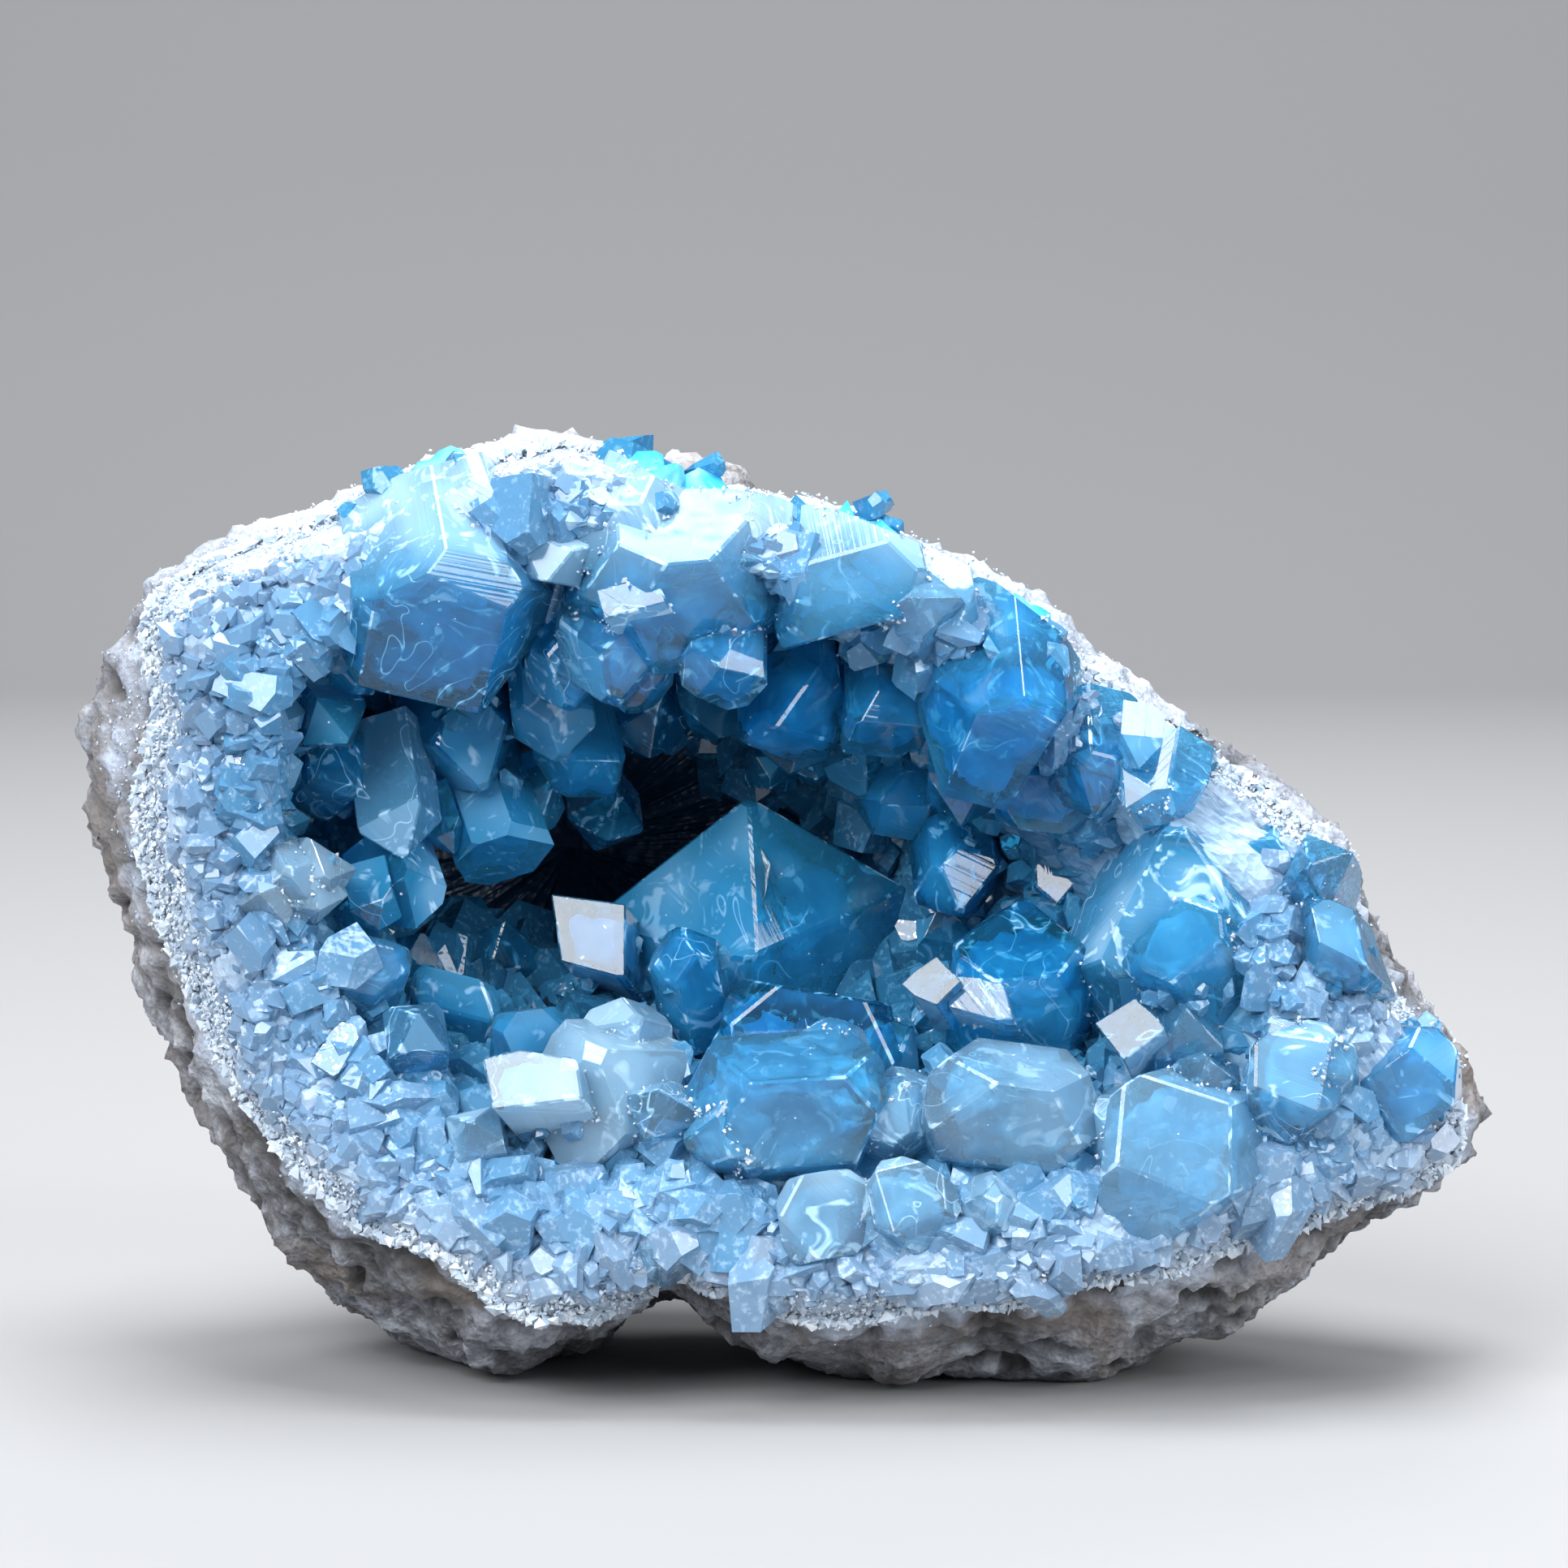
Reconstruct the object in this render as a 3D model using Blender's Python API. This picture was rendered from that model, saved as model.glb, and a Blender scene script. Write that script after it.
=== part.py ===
"""Celestite druse: a bowl of rock and the crystal crust grown inside it."""
import math
import random

import bmesh
import bpy
from mathutils import Matrix, Vector, noise

MM = 0.001
GAP = 0.45

# The outline of the stone as seen from the front, round from the right tip, in millimetres (x, z).
OUTLINE = (
    (94, 35), (90, 45), (83, 53), (80, 59), (78, 67), (74, 73), (64, 81), (53, 88), (43, 95), (35, 102), (27, 108),
    (16, 113), (8, 116), (-6, 119), (-14, 119), (-19, 122), (-24, 125), (-30, 126), (-39, 124), (-50, 121),
    (-58, 117), (-78, 111), (-84, 107), (-88, 103), (-91, 93), (-94, 89), (-95, 80), (-94, 73), (-87, 53),
    (-85, 44), (-75, 23), (-69, 15), (-63, 7), (-55, 2), (-47, -1), (-38, -2), (-29, 0), (-19, 7), (-16, 10),
    (-14, 8), (-10, 4), (-3, 3), (2, 0), (10, -1), (23, -1), (40, -2), (47, -1), (51, 2), (63, 7), (69, 11),
    (74, 16), (84, 22), (91, 26), (94, 30))
CENTRE = (-7.2, 61.6)
POLE = (-30.0, 67.0)

# By direction from the centre (degrees): edge of the rock (share of the outline, depth), depth of the outline,
# then the face of the crust: crest, lip of the hollow and three rings down its wall.
PROFILE = (
    (-180, (0.90, -20), 0, (0.80, -30), (0.64, -29), (0.58, -14), (0.48, 4), (0.28, 20)),
    (-164, (0.87, -24), 2, (0.80, -32), (0.62, -30), (0.54, -16), (0.42, 2), (0.25, 20)),
    (-143, (0.80, -32), 4, (0.72, -37), (0.58, -34), (0.47, -20), (0.36, -2), (0.22, 18)),
    (-133, (0.72, -37), 5, (0.66, -39), (0.54, -36), (0.43, -22), (0.33, -5), (0.20, 17)),
    (-115, (0.78, -37), 4, (0.70, -41), (0.56, -38), (0.44, -24), (0.33, -6), (0.20, 16)),
    (-102, (0.855, -30), -4, (0.74, -40), (0.60, -38), (0.46, -24), (0.34, -6), (0.20, 16)),
    (-90, (0.79, -36), -6, (0.72, -41), (0.60, -39), (0.47, -25), (0.34, -7), (0.20, 15)),
    (-77, (0.80, -36), -8, (0.72, -42), (0.60, -40), (0.47, -26), (0.35, -8), (0.20, 15)),
    (-54, (0.745, -38), -10, (0.68, -42), (0.58, -40), (0.47, -27), (0.36, -9), (0.20, 15)),
    (-46, (0.75, -38), -10, (0.69, -42), (0.60, -40), (0.49, -28), (0.37, -10), (0.22, 15)),
    (-36, (0.81, -35), -8, (0.74, -40), (0.64, -40), (0.52, -29), (0.40, -10), (0.24, 15)),
    (-27, (0.89, -28), -6, (0.80, -36), (0.70, -38), (0.57, -29), (0.44, -10), (0.26, 15)),
    (-20, (0.955, -17), -4, (0.88, -28), (0.78, -34), (0.64, -28), (0.50, -8), (0.30, 16)),
    (-8, (0.95, -17), -4, (0.89, -27), (0.79, -32), (0.66, -22), (0.52, -4), (0.32, 17)),
    (0, (0.95, -18), -6, (0.89, -26), (0.79, -30), (0.68, -18), (0.55, -2), (0.34, 18)),
    (30, (0.955, -18), -8, (0.90, -25), (0.80, -28), (0.70, -14), (0.56, 2), (0.34, 20)),
    (60, (0.955, -18), -10, (0.91, -26), (0.82, -30), (0.70, -12), (0.56, 4), (0.34, 21)),
    (90, (0.975, -17), -11, (0.92, -27), (0.82, -31), (0.69, -12), (0.55, 4), (0.33, 21)),
    (120, (0.975, -17), -11, (0.92, -28), (0.81, -33), (0.67, -13), (0.54, 4), (0.32, 21)),
    (150, (0.965, -17), -8, (0.89, -29), (0.72, -32), (0.62, -13), (0.50, 4), (0.30, 21)),
    (163, (0.88, -19), -2, (0.80, -29), (0.66, -30), (0.60, -14), (0.50, 4), (0.30, 21)),
    (180, (0.90, -20), 0, (0.80, -30), (0.64, -29), (0.58, -14), (0.48, 4), (0.28, 20)))
# The back of the rock and of the crust: share of the outline, depth, share of the way to the back's own middle.
ROCK_BACK = ((0.975, 10, 0.0), (0.905, 21.5, 0.1), (0.77, 31.5, 0.25), (0.57, 39, 0.4), (0.32, 44, 0.5))
ROCK_END = 46
INNER = ((0.86, 9, 0.0), (0.68, 26, 0.2), (0.3, 38, 0.5))
INNER_END = 40
HOLLOW_END = 27
RIM = 0.035
# Extra directions of the lofts beside an even 7.5 degrees: the notch below, the tip at the right, the left knob.
EVEN_STEP = 7.5
EXTRA_STEPS = (-109, -102, -99, -18.5, -11, 161, 163.5)

# Forms: four tip faces, a ridge, a flat top with a worn rim, a plain flat top, and the large one in the middle.
PYRAMID, CHISEL, BLOCK, TABLET, GIANT = "pyramid", "chisel", "block", "tablet", "giant"
# Smallest and largest share of the half width at which the prism faces lie, and slant of a block's rim (radians).
SIDE_SHARES = (0.6, 0.88)
RIM_SLANTS = (0.68, 1.15)
# Crystals placed by hand: name, tip (x, y, z), growing direction, width, thickness, length, form, roll (degrees).
CRYSTALS = (
    ("giant", (-5, -6, 77), (-0.03, -0.38, 0.92), 43, 32, 46, GIANT, 0),
    ("giant_foot", (-14, -22, 61), (-0.2, -0.5, 0.85), 10, 8, 18, PYRAMID, 20),
    ("roof_big_left", (-43, -34, 98), (0.16, -0.8, -0.58), 26, 23, 30, BLOCK, 20),
    ("roof_flake", (-31, -34, 107), (-0.2, -0.85, -0.45), 9, 7, 14, CHISEL, 10),
    ("roof_teal", (-29, -22, 97), (0.1, -0.5, -0.86), 10, 9, 18, PYRAMID, 30),
    ("roof_smooth", (-30, -12, 82), (0.1, -0.4, -0.9), 11, 10, 18, PYRAMID, 0),
    ("left_wall", (-55, -22, 92), (0.4, -0.75, -0.5), 11, 9, 18, PYRAMID, 15),
    ("left_wall_low", (-57, -25, 86), (0.45, -0.8, -0.4), 8, 7, 14, BLOCK, 30),
    ("roof_wide", (-14, -34, 102), (0.06, -0.84, -0.54), 28, 18, 28, BLOCK, -8),
    ("roof_wide_left", (-22, -31, 91), (-0.05, -0.6, -0.8), 15, 12, 20, PYRAMID, 20),
    ("roof_wide_foot", (-28, -25, 90), (0, -0.6, -0.8), 13, 11, 18, PYRAMID, 25),
    ("roof_round", (-8, -31, 93), (0, -0.65, -0.76), 11, 10, 16, BLOCK, 10),
    ("roof_wedge", (-20, -24, 89), (0, -0.4, -0.9), 12, 10, 18, PYRAMID, 40),
    ("roof_grey", (1, -20, 85), (0.05, -0.6, -0.8), 14, 12, 15, BLOCK, 8),
    ("roof_teal_right", (13, -20, 86), (0.05, -0.65, -0.76), 13, 11, 16, BLOCK, 30),
    ("roof_deep", (12, -12, 84), (0, -0.6, -0.8), 13, 11, 18, PYRAMID, 20),
    ("roof_broad", (9, -33, 101), (0.12, -0.8, -0.58), 21, 14, 20, CHISEL, 5),
    ("roof_small_a", (4, -31, 105), (0, -0.75, -0.66), 7, 6, 12, BLOCK, 20),
    ("roof_mirror", (16, -35, 105), (-0.25, -0.89, 0.39), 9, 7, 14, PYRAMID, 15),
    ("roof_small_b", (21, -31, 100), (0.1, -0.75, -0.65), 8, 7, 12, CHISEL, 0),
    ("roof_small_c", (-5, -29, 109), (0, -0.75, -0.66), 9, 8, 13, PYRAMID, 45),
    ("roof_big_right", (28, -33, 84), (0.04, -0.72, -0.69), 20, 17, 26, BLOCK, 22),
    ("roof_right_foot", (23, -22, 75), (0, -0.55, -0.83), 9, 8, 14, PYRAMID, 0),
    ("right_a", (40, -29, 76), (0, -0.6, -0.8), 13, 12, 18, PYRAMID, 30),
    ("right_b", (33, -24, 74), (-0.1, -0.6, -0.8), 12, 9, 14, CHISEL, 0),
    ("right_c", (45, -31, 83), (-0.1, -0.8, -0.6), 5.5, 5, 10, BLOCK, 0),
    ("right_fan_a", (44, -31, 78), (-0.55, -0.7, -0.45), 8, 5, 18, CHISEL, 30),
    ("right_fan_b", (46, -30, 76), (-0.4, -0.75, -0.5), 8, 5, 18, CHISEL, 60),
    ("right_fan_c", (50, -31, 77), (-0.15, -0.8, -0.55), 8, 5, 18, CHISEL, 80),
    ("right_ridge", (50, -30, 76), (-0.14, -0.58, 0.8), 31, 25, 40, PYRAMID, 38),
    ("wall_pale", (23, -14, 62), (0.05, -0.75, -0.66), 12, 11, 18, PYRAMID, 20),
    ("wall_teal", (16, -7, 74), (0.05, -0.8, -0.6), 11, 10, 16, BLOCK, 35),
    ("wall_low", (21, -13, 55), (0, -0.6, 0.8), 9, 8, 14, PYRAMID, 0),
    ("right_dark", (37, -10, 59), (0.05, -0.3, -0.95), 10, 9, 20, PYRAMID, 10),
    ("floor_chisel", (5, -27, 53), (0.08, -0.6, 0.8), 26, 12, 22, CHISEL, -6),
    ("front_block", (0, -43, 44), (0.03, -0.9, 0.42), 26, 18, 28, CHISEL, 8),
    ("front_blue", (15, -39, 43), (0.05, -0.8, 0.6), 11, 10, 16, PYRAMID, 25),
    ("front_striped", (30, -43, 43), (0.12, -0.93, 0.34), 23, 17, 32, CHISEL, 12),
    ("floor_milky", (32, -23, 60), (0.1, -0.5, 0.86), 20, 15, 26, BLOCK, 10),
    ("floor_small_a", (19, -30, 55), (-0.2, -0.9, 0.4), 6, 6, 16, TABLET, 20),
    ("floor_small_b", (25, -30, 53), (-0.2, -0.9, 0.4), 9, 6, 16, TABLET, -25),
    ("front_milky", (50, -43, 37), (-0.05, -0.93, 0.35), 26, 19, 32, BLOCK, 25),
    ("right_pair_a", (51, -33, 52), (-0.1, -0.65, 0.75), 9, 8, 16, BLOCK, 0),
    ("right_pair_b", (54, -38, 46), (0.05, -0.75, 0.66), 7, 6, 12, BLOCK, 30),
    ("right_deep", (58, -28, 55), (-0.1, -0.6, 0.8), 15, 12, 20, PYRAMID, 45),
    ("right_deep_foot", (66, -36, 48), (-0.1, -0.75, 0.65), 13, 11, 18, BLOCK, 10),
    ("right_slab", (68, -33, 62), (-0.35, -0.85, 0.35), 13, 9, 20, CHISEL, 60),
    ("right_white", (67, -32, 70), (-0.3, -0.88, 0.3), 9, 7, 16, PYRAMID, 20),
    ("tip_round", (79, -32, 42), (-0.2, -0.97, 0.1), 15, 14, 18, BLOCK, 25),
    ("front_low", (42, -39, 26), (0.05, -0.8, 0.55), 10, 9, 14, PYRAMID, 0),
    ("front_right", (65, -39, 45), (-0.1, -0.9, 0.42), 15, 12, 20, BLOCK, 20),
    ("front_facet", (44, -36, 50), (-0.2, -0.88, 0.43), 7, 7, 16, TABLET, 10),
    ("back_a", (26, 2, 72), (-0.1, -0.72, 0.68), 12, 10, 16, BLOCK, 20),
    ("back_b", (21, -4, 62), (0, -0.5, 0.86), 7, 6, 12, PYRAMID, 0),
    ("back_c", (12, 2, 80), (0, -0.8, -0.55), 7, 6, 12, PYRAMID, 0),
    ("back_d", (16, 4, 77), (0, -0.9, -0.3), 7, 6, 12, BLOCK, 0),
    ("back_e", (19, 0, 81), (0, -0.8, -0.55), 7, 6, 12, PYRAMID, 30),
    ("back_f", (-2, 0, 78), (0, -0.85, -0.5), 7, 6, 12, PYRAMID, 0),
    ("back_g", (4, -2, 79), (0.1, -0.8, -0.5), 6, 5, 12, CHISEL, 40),
    ("back_h", (-9, -7, 85), (0.05, -0.75, -0.66), 9, 8, 14, PYRAMID, 10),
    ("back_i", (1, -5, 80), (0, -0.75, -0.66), 9, 8, 14, BLOCK, 30),
    ("back_j", (11, -6, 77), (0, -0.8, -0.6), 9, 8, 14, PYRAMID, 40),
    ("back_k", (-18, -3, 82), (0.1, -0.7, -0.7), 9, 8, 14, BLOCK, 20),
    ("back_l", (-24, 4, 70), (0.1, -0.8, -0.5), 8, 7, 12, PYRAMID, 20),
    ("pale_fan_a", (-64, -34, 70), (-0.1, -0.92, 0.25), 10, 9, 14, PYRAMID, 10),
    ("pale_fan_b", (-59, -32, 69), (0.3, -0.9, 0.1), 8, 7, 12, PYRAMID, 40),
    ("pale_fan_c", (-67, -33, 67), (-0.25, -0.9, 0.1), 8, 7, 12, BLOCK, 0),
    ("pale_fan_d", (-60, -32, 65), (0.25, -0.85, -0.3), 7, 6, 12, PYRAMID, 0),
    ("left_dark", (-56, -16, 78), (0.45, -0.8, -0.3), 13, 11, 20, PYRAMID, 20),
    ("left_column", (-50, -17, 70), (0.15, -0.5, -0.85), 9, 8, 20, PYRAMID, 15),
    ("left_splinter", (-44, -12, 70), (0.3, -0.5, -0.8), 5, 4, 10, CHISEL, 0),
    ("left_blue", (-40, -12, 78), (0.3, -0.6, -0.74), 14, 12, 22, PYRAMID, 30),
    ("left_low_a", (-37, -9, 69), (0.3, -0.65, -0.7), 13, 11, 18, BLOCK, 0),
    ("left_low_b", (-49, -17, 61), (0.3, -0.6, -0.72), 9, 8, 14, PYRAMID, 25),
    ("left_low_c", (-53, -21, 61), (0.2, -0.65, -0.7), 6, 5, 10, PYRAMID, 0),
    ("middle_a", (-26, -9, 79), (0.2, -0.7, -0.7), 11, 10, 18, BLOCK, 25),
    ("middle_b", (-33, -5, 72), (0.2, -0.7, -0.65), 8, 7, 12, PYRAMID, 0),
    ("floor_dark_a", (-38, 3, 59), (0.1, -0.5, 0.85), 9, 8, 14, BLOCK, 20),
    ("floor_dark_b", (-49, -4, 58), (0.2, -0.55, 0.8), 9, 8, 14, BLOCK, 10),
    ("floor_slab", (-43, -14, 54), (0.2, -0.6, 0.77), 14, 7, 16, CHISEL, 0),
    ("floor_mirror", (-26, -10, 59), (-0.2, -0.9, 0.4), 11, 12, 30, TABLET, -25),
    ("floor_curl", (-33, -28, 51), (0.1, -0.7, 0.7), 10, 7, 14, CHISEL, 20),
    ("front_frosted", (-24, -38, 47), (-0.15, -0.85, 0.5), 22, 18, 28, PYRAMID, 12),
    ("front_white", (-32, -41, 44), (-0.2, -0.88, 0.43), 13, 9, 20, TABLET, -12),
    ("front_dark", (-40, -40, 38), (-0.1, -0.85, 0.5), 7, 6, 10, PYRAMID, 0),
    ("front_small", (-16, -39, 42), (-0.05, -0.8, 0.6), 8, 7, 12, PYRAMID, 20),
    ("left_slab", (-53, -30, 60), (0.25, -0.7, 0.65), 11, 9, 16, CHISEL, 10),
    ("left_small", (-47, -33, 51), (0.15, -0.75, 0.63), 8, 7, 12, PYRAMID, 20),
    ("low_row_a", (5, -43, 27), (0, -0.95, 0.3), 12, 11, 16, BLOCK, 10),
    ("low_row_b", (16, -44, 29), (0.1, -0.93, 0.35), 12, 10, 16, BLOCK, -15),
    ("low_row_c", (27, -43, 30), (0, -0.84, 0.54), 10, 8, 12, PYRAMID, 0),
    ("roof_facet", (-20, -37, 105), (-0.22, -0.9, 0.38), 9, 5, 16, TABLET, -12))
# Grown at random between the ones above: tries, smallest and largest width on the frosted band and in the hollow.
SCATTER_TRIES = 2600
SCATTER_MOST = 15
BAND_WIDTHS = (3.2, 5.6)
HOLLOW_WIDTHS = (5.0, 8.5)
# Crystals narrower than this are four sides and four tip faces.
SMALL_WIDTH = 9.5
# Crystals at least as broad as the first carry a smaller one on a flank, broader than the second on both.
PARTNER_WIDTH = 20
PAIR_WIDTH = 23.5
PARTNER_SHARES = (0.42, 0.6)
PARTNER_OFFSET = 0.3

# Lumps on the rock and pits in it: direction (degrees), depth, radius, and for lumps the share that is sunk.
LUMPS = ((-143, -8, 13, 0.80), (-122, -16, 12, 0.80), (-66, -22, 12, 0.80), (-36, -18, 12, 0.82), (36, 18, 17, 0.80),
         (98, 20, 18, 0.80), (156, 18, 16, 0.80), (-14, 22, 15, 0.80), (-172, 24, 18, 0.78))
PITS = ((-129, -20, 4.4), (-108, -8, 3.8), (-47, -22, 4.0), (-160, -2, 4.0))


def clear_scene():
    for thing in list(bpy.data.objects):
        bpy.data.objects.remove(thing, do_unlink=True)


def collection(name, cutters=False):
    """A collection in the scene; the one for cutters isn't rendered."""
    group = bpy.data.collections.new(name)
    bpy.context.scene.collection.children.link(group)
    group.hide_render = cutters
    return group


def material(name, colour, roughness, transmission=0.0, ior=1.5):
    """A plain Principled material."""
    made = bpy.data.materials.new(name)
    made.use_nodes = True
    shader = made.node_tree.nodes["Principled BSDF"]
    shader.inputs["Base Color"].default_value = (*colour, 1.0)
    shader.inputs["Roughness"].default_value = roughness
    shader.inputs["Transmission Weight"].default_value = transmission
    shader.inputs["IOR"].default_value = ior
    return made


def smooth(t):
    return t * t * (3 - 2 * t)


def between(a, b, t):
    return a + (b - a) * t


def outline_radius(angle):
    """Distance from the centre to the outline in one direction (radians), by crossing the outline's edges."""
    ux, uz = math.cos(angle), math.sin(angle)
    best = 0.0
    for i, (ax, az) in enumerate(OUTLINE):
        bx, bz = OUTLINE[(i + 1) % len(OUTLINE)]
        ax, az, bx, bz = ax - CENTRE[0], az - CENTRE[1], bx - CENTRE[0], bz - CENTRE[1]
        cross = ux * (bz - az) - uz * (bx - ax)
        if abs(cross) < 1e-9:
            continue
        far = (ax * (bz - az) - az * (bx - ax)) / cross
        along = (ax * uz - az * ux) / cross
        if far > 0 and -1e-9 <= along <= 1 + 1e-9:
            best = max(best, far)
    return best


def profile(angle):
    """The row of PROFILE for any direction, blended between its neighbours."""
    degrees = (math.degrees(angle) + 180) % 360 - 180
    for low, high in zip(PROFILE, PROFILE[1:]):
        if low[0] <= degrees <= high[0]:
            t = smooth((degrees - low[0]) / (high[0] - low[0]))
            break
    row = []
    for a, b in zip(low[1:], high[1:]):
        if isinstance(a, tuple):
            row.append((between(a[0], b[0], t), between(a[1], b[1], t)))
        else:
            row.append(between(a, b, t))
    wobble = noise.noise(Vector((math.cos(angle) * 4, math.sin(angle) * 4, 1.7)))
    edge, rest = row[0], row[1:]
    return [(edge[0] * (1 + 0.008 * wobble), edge[1] + 1.2 * wobble)] + rest


def soft_radius(angle):
    """The outline's distance without its small corners, for the back of the stone."""
    return sum(outline_radius(angle + math.radians(turn)) for turn in range(-28, 29, 7)) / 9


def spot(angle, share, depth, shift=0.0):
    """A point of the stone from its direction, share of the outline and depth."""
    soft = smooth(min(max((depth - 8) / 22, 0.0), 1.0))
    reach = share * between(outline_radius(angle), soft_radius(angle), soft)
    cx = between(CENTRE[0], POLE[0], shift)
    cz = between(CENTRE[1], POLE[1], shift)
    return Vector((cx + reach * math.cos(angle), depth, cz + reach * math.sin(angle)))


def rumple(point, away, amount, grain):
    """The point moved along a direction by smooth noise."""
    value = noise.noise(point / grain) + 0.5 * noise.noise(point / (grain * 0.45) + Vector((7, 3, 5)))
    return point + away * (amount * value)


def directions():
    even = [-180 + EVEN_STEP * i for i in range(int(360 / EVEN_STEP))]
    kept = [step for step in even if all(abs(step - extra) > 1.4 for extra in EXTRA_STEPS)]
    return [math.radians(step) for step in sorted(kept + list(EXTRA_STEPS))]


def foot(angle):
    """How much a direction belongs to the lobes that the stone stands on."""
    degrees = math.degrees(angle)
    return max(math.exp(-((degrees + 117) / 13) ** 2), math.exp(-((degrees + 57) / 22) ** 2))


def rock_rings():
    """Rings of the rock from the middle of its back over the outline to its front edge."""
    rings = []
    for share, depth, shift in reversed(ROCK_BACK):
        ring = []
        for angle in directions():
            full = share + (1.0 - share) * 0.75 * foot(angle) * (depth < 24)
            away = Vector((math.cos(angle) * share, 1 - share, math.sin(angle) * share)).normalized()
            ring.append(rumple(spot(angle, full, depth, shift), away, 3.4, 19))
        rings.append(ring)
    for way in (0.0, 0.3, 0.62, 0.85):
        ring = []
        for angle in directions():
            edge, outline = profile(angle)[:2]
            share = between(1.0, edge[0], way ** 1.6)
            depth = between(outline, edge[1], way)
            away = Vector((math.cos(angle), -0.4 * way, math.sin(angle))).normalized()
            strength = (0.5, 1.7, 2.2, 1.2)[(0.0, 0.3, 0.62, 0.85).index(way)]
            strength = strength * (0.4 + 0.6 * (1 - edge[0]) / 0.25)
            ring.append(rumple(spot(angle, share, depth), away, strength, 12))
        rings.append(ring)
    rings.append([spot(angle, *profile(angle)[0]) for angle in directions()])
    return rings


def plug_rings(gap, inset):
    """What the bowl is hollowed with, or with a gap and an inset the mould that the crystals are trimmed to."""
    rings = list(reversed(inner_rings(gap)))
    for outward, forward in ((0.0, 0.0), (0.035, -8), (0.06, -48)):
        ring = []
        for angle in directions():
            edge = profile(angle)[0]
            share = min(edge[0] + outward, max(1.0, edge[0])) - inset
            ring.append(spot(angle, share, between(edge[1], -48, -forward / 48) - (gap > 0) * 0.5))
        rings.append(ring)
    return rings


def inner_rings(gap):
    """The inside of the bowl from the rim to its floor, or the back of the crust when a gap is given."""
    rings = []
    for way in (0.0, 0.5):
        ring = []
        for angle in directions():
            edge = profile(angle)[0]
            start = (edge[0] - RIM, edge[1] + 0.8)
            ring.append(spot(angle, between(start[0], INNER[0][0], way * 1.1), between(start[1], INNER[0][1], way)))
        rings.append(ring)
    for share, depth, shift in INNER:
        rings.append([spot(angle, share, depth, shift) for angle in directions()])
    moved = []
    for ring in rings:
        moved.append([point + Vector((-gap * math.cos(a), -gap, -gap * math.sin(a)))
                      for point, a in zip(ring, directions())])
    return moved


FACE_SHIFT = (0.0, 0.0, 0.1, 0.35, 0.65, 0.9)


def face_point(angle, way):
    """A point on the face of the crust: way 0 at the rock's edge, 1 at the crest, 2 at the lip, 5 deep inside."""
    row = profile(angle)
    edge = (row[0][0] - 0.012, row[0][1] - 0.7)
    stations = [edge] + row[2:]
    i = min(int(way), 4)
    t = way - i
    share = between(stations[i][0], stations[i + 1][0], t)
    depth = between(stations[i][1], stations[i + 1][1], t)
    shift = between(FACE_SHIFT[i], FACE_SHIFT[i + 1], t)
    return spot(angle, share, depth, shift)


def face_normal(angle, way):
    """The direction away from the crust, out of its face."""
    low, high = max(way - 0.08, 0.0), min(way + 0.08, 5.0)
    down = face_point(angle, high) - face_point(angle, low)
    side = face_point(angle + 0.04, way) - face_point(angle - 0.04, way)
    return side.cross(down).normalized()


def crust_rings():
    """Rings of the crust's base from the middle of its back, over its edge, to the floor of the hollow."""
    rings = list(reversed(inner_rings(GAP)))
    for way in (0.0, 0.5, 1.1, 1.9, 2.8, 3.8, 4.8):
        strength = 0.0 if way == 0 else 0.8 if way < 1 else 1.6
        ring = []
        for angle in directions():
            ring.append(rumple(face_point(angle, way), face_normal(angle, way), strength, 6))
        rings.append(ring)
    return rings


def loft(name, rings, first, last, group):
    """A closed body from rings of equal count, closed by a point at each end."""
    mesh = bpy.data.meshes.new(name)
    shape = bmesh.new()
    rows = [[shape.verts.new(point * MM) for point in ring] for ring in rings]
    for near, far in zip(rows, rows[1:]):
        for i in range(len(near)):
            j = (i + 1) % len(near)
            shape.faces.new((near[i], near[j], far[j]))
            shape.faces.new((near[i], far[j], far[i]))
    for row, point in ((rows[0], first), (rows[-1], last)):
        tip = shape.verts.new(point * MM)
        for i in range(len(row)):
            shape.faces.new((row[i], row[(i + 1) % len(row)], tip))
    bmesh.ops.recalc_face_normals(shape, faces=shape.faces)
    shape.to_mesh(mesh)
    shape.free()
    made = bpy.data.objects.new(name, mesh)
    made.display_type = "WIRE" if group.hide_render else "TEXTURED"
    group.objects.link(made)
    return made


def middle(depth, shift):
    return Vector((between(CENTRE[0], POLE[0], shift), depth, between(CENTRE[1], POLE[1], shift)))


def boolean(target, tool, operation, own=False):
    """Applies an exact Boolean of the tool to the target."""
    step = target.modifiers.new(operation.lower(), "BOOLEAN")
    step.operation = operation
    step.solver = "EXACT"
    step.use_self = own
    step.object = tool
    bpy.context.view_layer.update()
    graph = bpy.context.evaluated_depsgraph_get()
    result = bpy.data.meshes.new_from_object(target.evaluated_get(graph))
    target.modifiers.clear()
    target.data = result


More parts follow.
